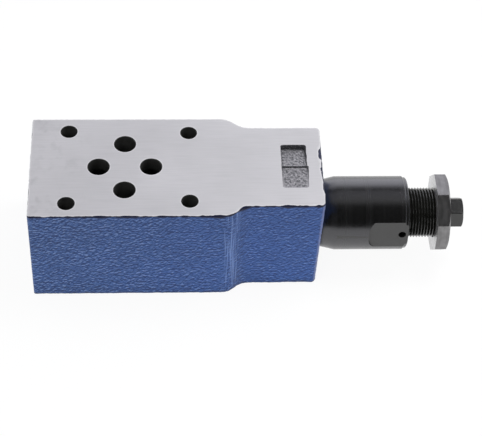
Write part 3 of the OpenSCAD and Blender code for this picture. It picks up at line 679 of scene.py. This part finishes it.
pocketShape = dict(
    setback=9.5 * mm, width=8.5 * mm, length=19.4 * mm, depth=1.9 * mm, stepDepth=0.8 * mm,
    leastDepth=0.16 * mm, lip=0.22 * mm, lipDrop=0.1 * mm, rimOut=0.08 * mm, cornerR=0.9 * mm,
    step=0.28 * mm, draft=0.16 * mm, stepRun=0.05 * mm, stepClear=0.1 * mm, flare=0.45 * mm,
    wander=0.12 * mm, wanderSize=1.6 * mm, grain=0.75 * mm, roughness=0.11 * mm, farShade=1.3 * mm,
    farWall=0.5 * mm, stepLight=0.6 * mm, stepTone=0.05, lightTone=0.75, floorTone=0.5, wallTone=0.3,
    toneRun=0.5)
pocketX = bodyHigh.x - pocketShape["setback"]
pocketWide, pocketLong = pocketShape["width"] / 2, pocketShape["length"] / 2


# the holes and passages of the solid, without its outer skin
def innerSurfaces(outline):
    bm = mergedCopy("valve_body")
    tree = kdtree.KDTree(len(outline))
    for i, p in enumerate(outline):
        tree.insert((p.x, p.y, 0), i)
    tree.balance()
    skin = []
    for face in bm.faces:
        c = face.calc_center_median()
        n = face.normal
        flat = abs(n.z) > 0.99 and (c.z < tiny or c.z > bodyHigh.z - tiny)
        end = abs(n.x) > 0.99 and (c.x < bodyLow.x + tiny or c.x + endLean(c.x, c.z) > bodyHigh.x - tiny)
        atHole = fromAxis(c) < castBody["sleeveSpotR"] - castBody["spotMargin"]
        side = abs(n.z) < 0.03 and not atHole and all(
            tree.find((p.x + endLean(p.x, p.z), p.y, 0))[2] < castBody["step"]
            for p in (v.co for v in face.verts))
        pocket = (c.z > bodyHigh.z - pocketShape["depth"] - tiny
                  and abs(c.x - pocketX) < pocketWide + tiny and abs(c.y) < pocketLong + tiny)
        if flat or end or side or pocket:
            skin.append(face)
    bmesh.ops.delete(bm, geom=skin, context="FACES")
    bmesh.ops.delete(bm, geom=[v for v in bm.verts if not v.link_faces], context="VERTS")
    return bm


def fillFlat(bm, loops, points2d, flip, materialIndex, extra=()):
    verts = [v for loop in loops for v in loop] + list(extra)
    rings = []
    start = 0
    for loop in loops:
        rings.append(list(range(start, start + len(loop))))
        start += len(loop)
    flat = [Vector(points2d(v)) for v in verts]
    made = delaunay_2d_cdt(flat, [], rings, 1, 1e-9)
    outVerts, triangles, sources, owners = made[0], made[2], made[3], made[5]
    for triangle, owner in zip(triangles, owners):
        if list(owner) != [0]:
            continue
        corners = [verts[sources[i][0]] for i in triangle]
        a, b, c = (outVerts[i] for i in triangle)
        if ((b - a).cross(c - a) < 0) != flip:
            corners.reverse()
        bm.faces.new(corners).material_index = materialIndex


def quadBand(bm, low, high, materialIndex, flip=False):
    size = len(low)
    for i in range(size):
        n = (i + 1) % size
        corners = [low[i], low[n], high[n], high[i]]
        if flip:
            corners.reverse()
        bm.faces.new(corners).material_index = materialIndex


def loopAround(loop, points2d):
    area = 0.0
    for i, v in enumerate(loop):
        a, b = points2d(v), points2d(loop[(i + 1) % len(loop)])
        area += a[0] * b[1] - b[0] * a[1]
    return list(loop) if area > 0 else list(reversed(loop))


def planOf(v):
    return (v.co.x, v.co.y)


def endPlanOf(v):
    return (v.co.y, v.co.z)


def pocketLoop(inset):
    size = pocketShape
    halfWidth, halfLength, radius = pocketWide - inset, pocketLong - inset, size["cornerR"]
    corners = [((pocketX + sx * (halfWidth - radius), sy * (halfLength - radius)), start)
               for sx, sy, start in ((1, -1, 270), (1, 1, 0), (-1, 1, 90), (-1, -1, 180))]
    points = []
    for (corner, start), (following, nextStart) in zip(corners, corners[1:] + corners[:1]):
        points += arcPoints(corner, radius, start, start + 90, size["step"])
        points += linePoints(onCircle(corner, radius, start + 90), onCircle(following, radius, nextStart),
                             size["step"])
    for p in points:
        if p.x > pocketX and p.y < 0:
            p.x += size["flare"] * (1 + p.y / halfLength)
        wander = noise.noise_vector(Vector((p.x, p.y, 0)) / size["wanderSize"]) * size["wander"]
        p.x += wander.x
        p.y += wander.y
    return points


def pocketDepth(y):
    size = pocketShape
    share = (y + pocketLong) / pocketLong if y < 0 else y / pocketLong
    deep = size["stepDepth"] if y < 0 else size["depth"]
    return size["lip"] + (deep - size["lip"]) * clamp(share)


def pocketRelief(x, y):
    return noise.fractal(Vector((x, y, 0)) / pocketShape["grain"], 0.7, 2.1, 3) * 0.5


# painted shade on the step face and a painted highlight on the strip just below it, and a middle tone
# elsewhere
def pocketTone(y):
    if abs(y) <= pocketShape["stepRun"]:
        return pocketShape["stepTone"]
    return pocketShape["lightTone"] if -pocketShape["stepLight"] < y < 0 else pocketShape["floorTone"]


def makePocket(bm):
    size = pocketShape
    shadedRelief = bm.verts.layers.float["shadedRelief"]
    top = bodyHigh.z
    rim = [bm.verts.new((p.x, p.y, top)) for p in pocketLoop(-size["rimOut"])]
    lip = [bm.verts.new((p.x, p.y, top - size["lipDrop"])) for p in pocketLoop(0.0)]
    floor = [bm.verts.new((p.x, p.y, top - max(size["leastDepth"], pocketDepth(p.y))))
             for p in pocketLoop(size["draft"])]
    quadBand(bm, lip, rim, pocketIndex, flip=True)
    quadBand(bm, floor, lip, pocketIndex, flip=True)
    clear = 3 * size["draft"]
    run = size["stepRun"]
    columns, rows = int(size["width"] / size["step"]), int(size["length"] / size["step"])
    heights = [size["length"] * ((j + 0.5) / rows - 0.5) for j in range(rows)]
    heights = [y for y in heights if abs(y) > run + size["stepClear"]] + [-run, run]
    grid = []
    for y in heights:
        for i in range(columns):
            x = pocketX + size["width"] * ((i + 0.5) / columns - 0.5)
            if abs(x - pocketX) > pocketWide - clear or abs(y) > pocketLong - clear:
                continue
            lift = pocketRelief(x, y)
            v = bm.verts.new((x, y, top - pocketDepth(y) + lift * size["roughness"] * 2))
            # painted shade darkens the floor towards the far wall
            atFar = clamp(1 + (y - pocketLong + lift * mm) / size["farShade"])
            v[shadedRelief] = pocketTone(y) + lift - size["toneRun"] * atFar
            grid.append(v)
    # the far wall is painted in shade, and the other walls get lighter towards the near end
    for v in floor + lip + rim:
        nearTone = size["wallTone"] - size["toneRun"] * min(0, v.co.y / pocketLong)
        v[shadedRelief] = 0.0 if v.co.y > pocketLong - size["farWall"] else nearTone
    fillFlat(bm, [floor], planOf, False, pocketIndex, grid)
    return rim


# the displaced wall, left open round the two axis holes
def addWall(bm, wall):
    mesh = wall.data
    layers = bm.verts.layers.float
    stored = [(layers[name], mesh.attributes[name].data) for name in wallMarks]
    grid = []
    for i, vertex in enumerate(mesh.vertices):
        v = bm.verts.new(vertex.co)
        for layer, data in stored:
            v[layer] = data[i].value
        grid.append(v)
    for polygon in mesh.polygons:
        c = polygon.center
        spot = 0.0
        if c.x + endLean(c.x, c.z) > bodyHigh.x - castBody["endMargin"]:
            spot = castBody["sleeveSpotR"]
        elif c.x < bodyLow.x + castBody["endMargin"]:
            spot = castBody["plugSpotR"]
        if fromAxis(c) < spot:
            continue
        face = bm.faces.new([grid[i] for i in polygon.vertices])
        face.material_index = paintIndex
        face.smooth = True
    bpy.data.objects.remove(wall)
    return grid


# the flat rings between the wall and the two axis holes
def closeEnds(bm):
    openEdges = {-1: [], 1: []}
    for loop in boundaryLoops(bm):
        x = sum(v.co.x for v in loop) / len(loop)
        z = sum(v.co.z for v in loop) / len(loop)
        if castBody["faceMargin"] < z < bodyHigh.z - castBody["faceMargin"]:
            openEdges[1 if x > 0 else -1].append(loop)
    for end, loops in openEdges.items():
        loops.sort(key=lambda loop: -max(fromAxis(v.co) for v in loop))
        fillFlat(bm, [loopAround(loop, endPlanOf) for loop in loops], endPlanOf, end < 0, paintIndex)


def rimLimit(p, n):
    if p.x < bodyLow.x + castBody["plainCornerR"]:
        return castBody["plainCornerR"] * 0.9
    if min(abs(n.x), abs(n.y)) > 0.02 and p.x > bodyHigh.x - 2 * castBody["endCornerR"]:
        return castBody["endCornerR"] * 0.9
    return castBody["rimLimit"]


# a deburred edge round a hole, where the painted highlight of the ground face starts
def deburrHole(bm, loop, flip):
    rimHighlightMark = bm.verts.layers.float["rim"]
    chamfer = castBody["holeChamfer"]
    width = castBody["recessRim"] if flip else castBody["rimWidth"]
    centre = sum((v.co for v in loop), Vector()) / len(loop)
    deburr, rim = [], []
    for v in loop:
        out = (v.co - centre).normalized()
        deburr.append(bm.verts.new(v.co + out * chamfer))
        rim.append(bm.verts.new(v.co + out * (chamfer + width)))
        v.co.z += chamfer if flip else -chamfer
        deburr[-1][rimHighlightMark] = 1.0
    quadBand(bm, deburr, loop, boreIndex, flip)
    quadBand(bm, rim, deburr, groundIndex, flip)
    return rim


# a ground face, with a painted highlight along a rim inside the outline and a deburred edge at each hole
def addGroundFace(bm, z, flip, outer, outline, normals, holeLoops):
    rimHighlightMark = bm.verts.layers.float["rim"]
    plan = [Vector((p.x - endLean(p.x, z), p.y)) for p in outline]
    sink = [(p - v.co.xy).dot(n) for p, v, n in zip(plan, outer, normals)]
    inset = []
    for i, (p, n) in enumerate(zip(plan, normals)):
        deepest = max(sink[(i + k) % len(sink)] for k in range(-3, 4))
        spot = p - n * min(deepest + castBody["rimWidth"], rimLimit(p, n))
        inset.append(bm.verts.new((spot.x, spot.y, z)))
        outer[i][rimHighlightMark] = 1.0
    quadBand(bm, outer, inset, groundIndex, flip)
    loops = [inset]
    for loop in holeLoops:
        if max(abs(v.co.z - z) for v in loop) <= tiny:
            loops.append(deburrHole(bm, loopAround(loop, planOf), flip))
    if not flip:
        loops.append(makePocket(bm))
    fillFlat(bm, loops, planOf, flip, groundIndex)


def makeCastBody():
    outline = bodyOutline()
    normals = outlineNormals(outline)
    around = len(outline)
    wall = castWall(outline, normals)
    bm = innerSurfaces(outline)
    for name in wallMarks + ("rim",):
        bm.verts.layers.float.new(name)
    for face in bm.faces:
        face.material_index = boreIndex
    holeLoops = boundaryLoops(bm)
    grid = addWall(bm, wall)
    closeEnds(bm)
    addGroundFace(bm, bodyHigh.z, False, grid[-around:], outline, normals, holeLoops)
    addGroundFace(bm, 0.0, True, grid[:around], outline, normals, holeLoops)
    return pieceFromMesh("cast_body", bm, [bluePaint, groundIron, shadedBoreIron, castPocket])


body = makeCastBody()
print("cast body made:", len(body.data.polygons), "faces")


# Turned and milled adjuster pieces

def joinFlats(bm):
    bmesh.ops.dissolve_limit(bm, angle_limit=flatAngle, verts=bm.verts, edges=bm.edges)


def bevelCorners(bm, width, inner, after=-1.0):
    edges = []
    for e in bm.edges:
        run = e.verts[1].co - e.verts[0].co
        if abs(run.x) > 0.99 * run.length and run.length > mm and min(v.co.x for v in e.verts) > after:
            if min(fromAxis(v.co) for v in e.verts) > inner and e.calc_face_angle(0) > math.radians(25):
                edges.append(e)
    bmesh.ops.bevel(bm, geom=edges, offset=width, offset_type="OFFSET", segments=2, profile=0.6,
                    affect="EDGES", clamp_overlap=True)


def smoothByAngle(piece, degrees):
    for polygon in piece.data.polygons:
        polygon.use_smooth = True
    piece.data.set_sharp_from_angle(angle=math.radians(degrees))


# true normals on turned faces, so that long facets shade as the round they stand for
def turnedNormals(piece, flat):
    mesh = piece.data
    normals = []
    for polygon in mesh.polygons:
        polygon.use_smooth = True
        n = polygon.normal
        sideways = math.sqrt(max(0, 1 - n.x ** 2))
        for i in polygon.vertices:
            p = mesh.vertices[i].co
            out = Vector((0, p.y - axisY, p.z - axisZ)).normalized()
            if out.dot(n) < 0:
                out.negate()
            turned = Vector((n.x, 0, 0)) + out * sideways
            normals.append(n.copy() if flat(polygon) or turned.dot(n) < 0.97 else turned)
    mesh.normals_split_custom_set(normals)


sleeveLook = dict(flatTurn=7.2, flatAcross=22.7 * mm, flatMargin=0.05 * mm)


def makeSleeve():
    bm = mergedCopy("adjuster_sleeve")
    joinFlats(bm)
    turn = math.radians(sleeveLook["flatTurn"])
    facing = Vector((0, -math.cos(turn), math.sin(turn)))
    reach = sleeveLook["flatAcross"] / 2 - sleeveLook["flatMargin"]
    for face in bm.faces:
        c = face.calc_center_median() - Vector((0, axisY, axisZ))
        onFlat = abs(abs(face.normal.dot(facing)) - 1) < 1e-3
        face.material_index = 1 if onFlat and abs(c.dot(facing)) > reach else 0
    piece = pieceFromMesh("adjuster_sleeve_turned", bm, [blackOxide, oxideFlat])
    turnedNormals(piece, lambda f: f.material_index == 1)
    return piece


sleeve = makeSleeve()

nutLook = dict(bevel=0.16 * mm, flatR=12 * mm)


def makeNut():
    bm = mergedCopy("lock_nut")
    joinFlats(bm)
    bevelCorners(bm, nutLook["bevel"], nutLook["flatR"])
    for face in bm.faces:
        face.material_index = 1 if face.normal.x < -0.5 else 0
    piece = pieceFromMesh("lock_nut_milled", bm, [nutSteel, nutBright])
    turnedNormals(piece, lambda f: abs(f.normal.x) < 0.01 and fromAxis(f.center) > nutLook["flatR"])
    return piece


nut = makeNut()
print("sleeve and nut made")

spindleLook = dict(
    hexBevel=0.14 * mm, hexR=4 * mm, hexMargin=0.05 * mm, rootMargin=0.03 * mm, crestMargin=0.3 * mm,
    smoothTo=40, groove=(0.1, 0.92),
    thread={
        "Diameter": 17 * mm, "Pitch": 1 * mm, "Depth": 0.72 * mm, "Chamfer": 0.6 * mm,
        "Around": 96, "Rows Per Turn": 12,
    },
)


def buildThread():
    tree, given, result = newShapeTree(
        "spindleThread", sizes=("Diameter", "Pitch", "Depth", "Chamfer", "Start X", "Length"),
        counts=("Around", "Rows Per Turn"))
    radius = times(given["Diameter"], 0.5)
    rows = times(over(given["Length"], given["Pitch"]), given["Rows Per Turn"])
    tube = addNode(tree, "GeometryNodeMeshCylinder", {
        "Vertices": given["Around"], "Side Segments": rows, "Radius": radius, "Depth": given["Length"],
    }, fill_type="NONE")
    px, py, pz = splitVector(addNode(tree, "GeometryNodeInputPosition")[0])
    run = plus(pz, times(given["Length"], 0.5))
    turn = over(calc("ARCTAN2", py, px), 2 * math.pi)
    phase = calc("FRACT", minus(over(run, given["Pitch"]), turn))
    tooth = calc("ABSOLUTE", minus(times(phase, 2.0), 1.0))
    groove = ramp(tooth, *spindleLook["groove"], 0.0, given["Depth"], "LINEAR")
    toEnd = calc("MINIMUM", run, minus(given["Length"], run))
    limit = plus(minus(radius, given["Chamfer"]), toEnd)
    reach = over(calc("MINIMUM", minus(radius, groove), limit), radius)
    place = roundAxis(given, plus(given["Start X"], run), px, py, reach)
    kept = storeValue(tube["Mesh"], "root", tooth)
    moved = addNode(tree, "GeometryNodeSetPosition", {"Geometry": kept, "Position": place})
    return closeShapeTree(tree, moved[0], given, result)


def makeSpindle():
    thread = spindleLook["thread"]
    inner = thread["Diameter"] / 2 - thread["Chamfer"] - spindleLook["rootMargin"]
    bm = mergedCopy("set_spindle")
    plain = []
    for face in bm.faces:
        reaches = [fromAxis(v.co) for v in face.verts]
        if min(reaches) > inner and max(reaches) > inner + spindleLook["crestMargin"]:
            plain.append(face)
    start = min(v.co.x for f in plain for v in f.verts)
    stop = max(v.co.x for f in plain for v in f.verts)
    bmesh.ops.delete(bm, geom=plain, context="FACES")
    joinFlats(bm)
    bevelCorners(bm, spindleLook["hexBevel"], spindleLook["hexR"], stop - tiny)
    for face in bm.faces:
        face.material_index = 1 if face.calc_center_median().x > stop + spindleLook["hexMargin"] else 0
    values = {**thread, "Start X": start, "Length": stop - start}
    tube = bakeNodes("spindleThread", bpy.data.meshes.new("threadBase"), buildThread(), threadOxide, values)
    tube.data.polygons.foreach_set("material_index", [2] * len(tube.data.polygons))
    bm.verts.layers.float.new("root")
    bm.from_mesh(tube.data)
    bpy.data.objects.remove(tube)
    ends = [e for e in bm.edges if len(e.link_faces) == 1]
    for x in (start, stop):
        rings = [e for e in ends if all(abs(v.co.x - x) < tiny for v in e.verts)]
        bmesh.ops.bridge_loops(bm, edges=rings)
    bmesh.ops.recalc_face_normals(bm, faces=bm.faces)
    piece = pieceFromMesh("set_spindle_threaded", bm, [blackOxide, hexOxide, threadOxide])
    smoothByAngle(piece, spindleLook["smoothTo"])
    for polygon in piece.data.polygons:
        polygon.use_smooth = polygon.material_index != 1
    return piece


spindle = makeSpindle()
print("spindle made:", len(spindle.data.polygons), "faces")

springLook = {"Wire": 2.2 * mm, "Coil": 10.8 * mm, "Turns": 10, "Half Turns": 5, "Steps": 48, "Sides": 20,
              "End Pitch": 2.24 * mm}
springSmoothTo = 50


def buildSpring():
    tree, given, result = newShapeTree(
        "mainSpring", sizes=("Wire", "Coil", "End Pitch", "Start X", "Stop X"),
        counts=("Turns", "First Turn", "Half Turns", "Steps", "Sides"))
    wireR, coilR = times(given["Wire"], 0.5), times(given["Coil"], 0.5)
    count = plus(times(given["Half Turns"], given["Steps"]), 1.0)
    points = addNode(tree, "GeometryNodeMeshLine", {"Count": count})
    index = addNode(tree, "GeometryNodeInputIndex")[0]
    turn = plus(over(index, given["Steps"]), given["First Turn"])
    x0, x1 = plus(given["Start X"], wireR), minus(given["Stop X"], wireR)
    # the first and last turns lie closed, and the others share the length between them
    closed = times(given["End Pitch"], 2.0)
    pitch = over(minus(minus(x1, x0), closed), minus(given["Turns"], 2.0))
    pastLast = calc("MAXIMUM", minus(turn, minus(given["Turns"], 1.0)), 0.0)
    ends = plus(calc("MINIMUM", turn, 1.0), pastLast)
    run = plus(times(ends, given["End Pitch"]), times(minus(turn, ends), pitch))
    angle = times(turn, 2 * math.pi)
    place = roundAxis(given, plus(x0, run), calc("COSINE", angle), calc("SINE", angle), coilR)
    coil = addNode(tree, "GeometryNodeSetPosition", {"Geometry": points[0], "Position": place})
    path = addNode(tree, "GeometryNodeMeshToCurve", {"Mesh": coil[0]})
    ring = addNode(tree, "GeometryNodeCurvePrimitiveCircle", {"Resolution": given["Sides"], "Radius": wireR})
    wire = addNode(tree, "GeometryNodeCurveToMesh", {
        "Curve": path[0], "Profile Curve": ring[0], "Fill Caps": True})
    return closeShapeTree(tree, wire[0], given, result)


springTree = buildSpring()
springLow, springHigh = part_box("main_spring")


def makeSpringHalf(name, firstTurn):
    values = {**springLook, "First Turn": firstTurn, "Start X": springLow.x, "Stop X": springHigh.x}
    piece = bakeNodes(name, bpy.data.meshes.new("springBase"), springTree, springSteel, values)
    bm = bmesh.new()
    bm.from_mesh(piece.data)
    bmesh.ops.recalc_face_normals(bm, faces=bm.faces)
    bm.to_mesh(piece.data)
    bm.free()
    smoothByAngle(piece, springSmoothTo)
    return piece


spoolCoils = makeSpringHalf("main_spring_spool_half", 0)
seatCoils = makeSpringHalf("main_spring_seat_half", springLook["Half Turns"])
print("spring made in two halves:", len(seatCoils.data.polygons), "faces each")


for piece, bodyName, node, slotName in (
        (body, "housing", "valve_body", "painted_casting"),
        (sleeve, "housing", "adjuster_sleeve", "black_oxide"),
        (spindle, "spindle", "set_spindle", "black_oxide"),
        (seatCoils, "seat", "main_spring", "spring_steel"),
        (nut, "nut", "lock_nut", "nut_steel")):
    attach(piece, bodyName)
    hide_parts(node)
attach(spoolCoils, "spool")
# each half of the spring gets a mesh of its own
for coils, jointName, endX in (
        (seatCoils, "seat_slide", springHigh.x), (spoolCoils, "spool_slide", springLow.x)):
    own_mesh(coils)

cadFinish = (
    (blackOxide, ["end_plug"]), (springSteel, ["retaining_ring"]), (backupPlastic, ["spindle_backup_ring"]),
    (groundSteel, ["control_spool", "damping_orifice", "spring_plate", "spring_seat", "thrust_ball"]),
    (sealRubber, ["spindle_o_ring", "sleeve_o_ring", "end_plug_o_ring",
                  "port_ring_p", "port_ring_t", "port_ring_a", "port_ring_b"]),
)
for finish, nodes in cadFinish:
    for node in nodes:
        slots = frame["nodes"][node].data.materials
        slots.clear()
        slots.append(finish)
print("finishes set on the other CAD pieces")


# Studio: floor, soft surroundings, lamps and camera

floorLook = dict(size=6.0, drop=0.03 * mm, color=(0.86, 0.86, 0.86, 1), glow=0.92)


def makeFloor():
    bm = bmesh.new()
    bmesh.ops.create_grid(bm, x_segments=1, y_segments=1, size=floorLook["size"] / 2)
    for v in bm.verts:
        v.co.z = -floorLook["drop"]
    material = bpy.data.materials.new("paleFloor")
    tree = emptyTree(material)
    light = addNode(tree, "ShaderNodeLightPath")
    seen = calc("MAXIMUM", light["Is Camera Ray"],
                calc("MAXIMUM", light["Is Glossy Ray"], light["Is Transmission Ray"]))
    matte = addNode(tree, "ShaderNodeBsdfDiffuse", {"Color": floorLook["color"]})
    glow = addNode(tree, "ShaderNodeEmission", {"Color": (1, 1, 1, 1), "Strength": 1.0})
    share = times(seen, floorLook["glow"])
    top = addNode(tree, "ShaderNodeMixShader", {0: share, 1: matte[0], 2: glow[0]})
    under = addNode(tree, "ShaderNodeBsdfTransparent")
    behind = addNode(tree, "ShaderNodeNewGeometry")["Backfacing"]
    both = addNode(tree, "ShaderNodeMixShader", {0: behind, 1: top[0], 2: under[0]})
    addNode(tree, "ShaderNodeOutputMaterial", {"Surface": both[0]})
    pieceFromMesh("floor", bm, [material])


# each side's fade between two directions, and its brightness
surroundings = dict(
    back=(0.05, 0.35, 0.0, 1.6), backTop=(0.84, 0.45), overhead=(0.80, 0.88, 0.0, 0.42),
    overheadFront=(-0.42, 0.0), left=(-0.35, -0.75, 0.0, 0.8), right=(0.45, 0.8, 0.0, 0.8), front=0.012,
    blue=(-0.1, 0.3, 1.0, 1.07))


def makeSurroundings():
    look = surroundings
    world = bpy.data.worlds.new("softStudio")
    bpy.context.scene.world = world
    tree = emptyTree(world)
    x, y, z = splitVector(addNode(tree, "ShaderNodeTexCoord")["Generated"])
    back = times(ramp(y, *look["back"]), ramp(z, *look["backTop"]))
    overhead = times(ramp(z, *look["overhead"]), ramp(y, *look["overheadFront"]))
    sides = calc("MAXIMUM", ramp(x, *look["left"]), ramp(x, *look["right"]))
    level = calc("MAXIMUM", calc("MAXIMUM", back, overhead), sides)
    level = calc("MAXIMUM", level, look["front"])
    cool = times(level, ramp(y, *look["blue"]))
    background = addNode(tree, "ShaderNodeBackground", {"Color": joinVector(level, level, cool)})
    addNode(tree, "ShaderNodeOutputWorld", {"Surface": background[0]})


lamps = [
    dict(name="keyLamp", place=(-0.20, -0.55, 0.75), size=0.7, power=4.4),
    dict(name="topLamp", place=(0.15, 0.05, 0.25), size=0.14, power=0.6),
]


def makeLamps():
    target = (cadBox[0] + cadBox[1]) / 2
    for lamp in lamps:
        data = bpy.data.lights.new(lamp["name"], "AREA")
        data.size = lamp["size"]
        data.energy = lamp["power"]
        item = newObject(lamp["name"], data)
        item.location = lamp["place"]
        item.rotation_euler = (target - item.location).to_track_quat("-Z", "Y").to_euler()
        item.visible_glossy = False
        item.visible_camera = False


photoView = dict(place=(11.08 * mm, -384.15 * mm, 455.46 * mm), azimuth=-4.068, elevation=48.924, roll=2.76,
                 focalPixels=1692.8, imageWidth=482, sensorWidth=36.0, clipStart=0.01, clipEnd=20)


def makeCamera():
    a, e, roll = (math.radians(photoView[k]) for k in ("azimuth", "elevation", "roll"))
    back = Vector((math.sin(a) * math.cos(e), -math.cos(a) * math.cos(e), math.sin(e)))
    right = Vector((0, 0, 1)).cross(back).normalized()
    up = back.cross(right)
    turnedRight = right * math.cos(roll) + up * math.sin(roll)
    turnedUp = up * math.cos(roll) - right * math.sin(roll)
    data = bpy.data.cameras.new("photoCamera")
    data.sensor_width = photoView["sensorWidth"]
    data.lens = photoView["focalPixels"] / photoView["imageWidth"] * photoView["sensorWidth"]
    data.clip_start, data.clip_end = photoView["clipStart"], photoView["clipEnd"]
    item = newObject("photoCamera", data)
    axes = Matrix((turnedRight, turnedUp, back)).transposed()
    item.matrix_world = Matrix.Translation(photoView["place"]) @ axes.to_4x4()
    bpy.context.scene.camera = item


makeFloor()
makeSurroundings()
makeLamps()
makeCamera()
bpy.context.scene.view_settings.view_transform = "Standard"
print("studio made")
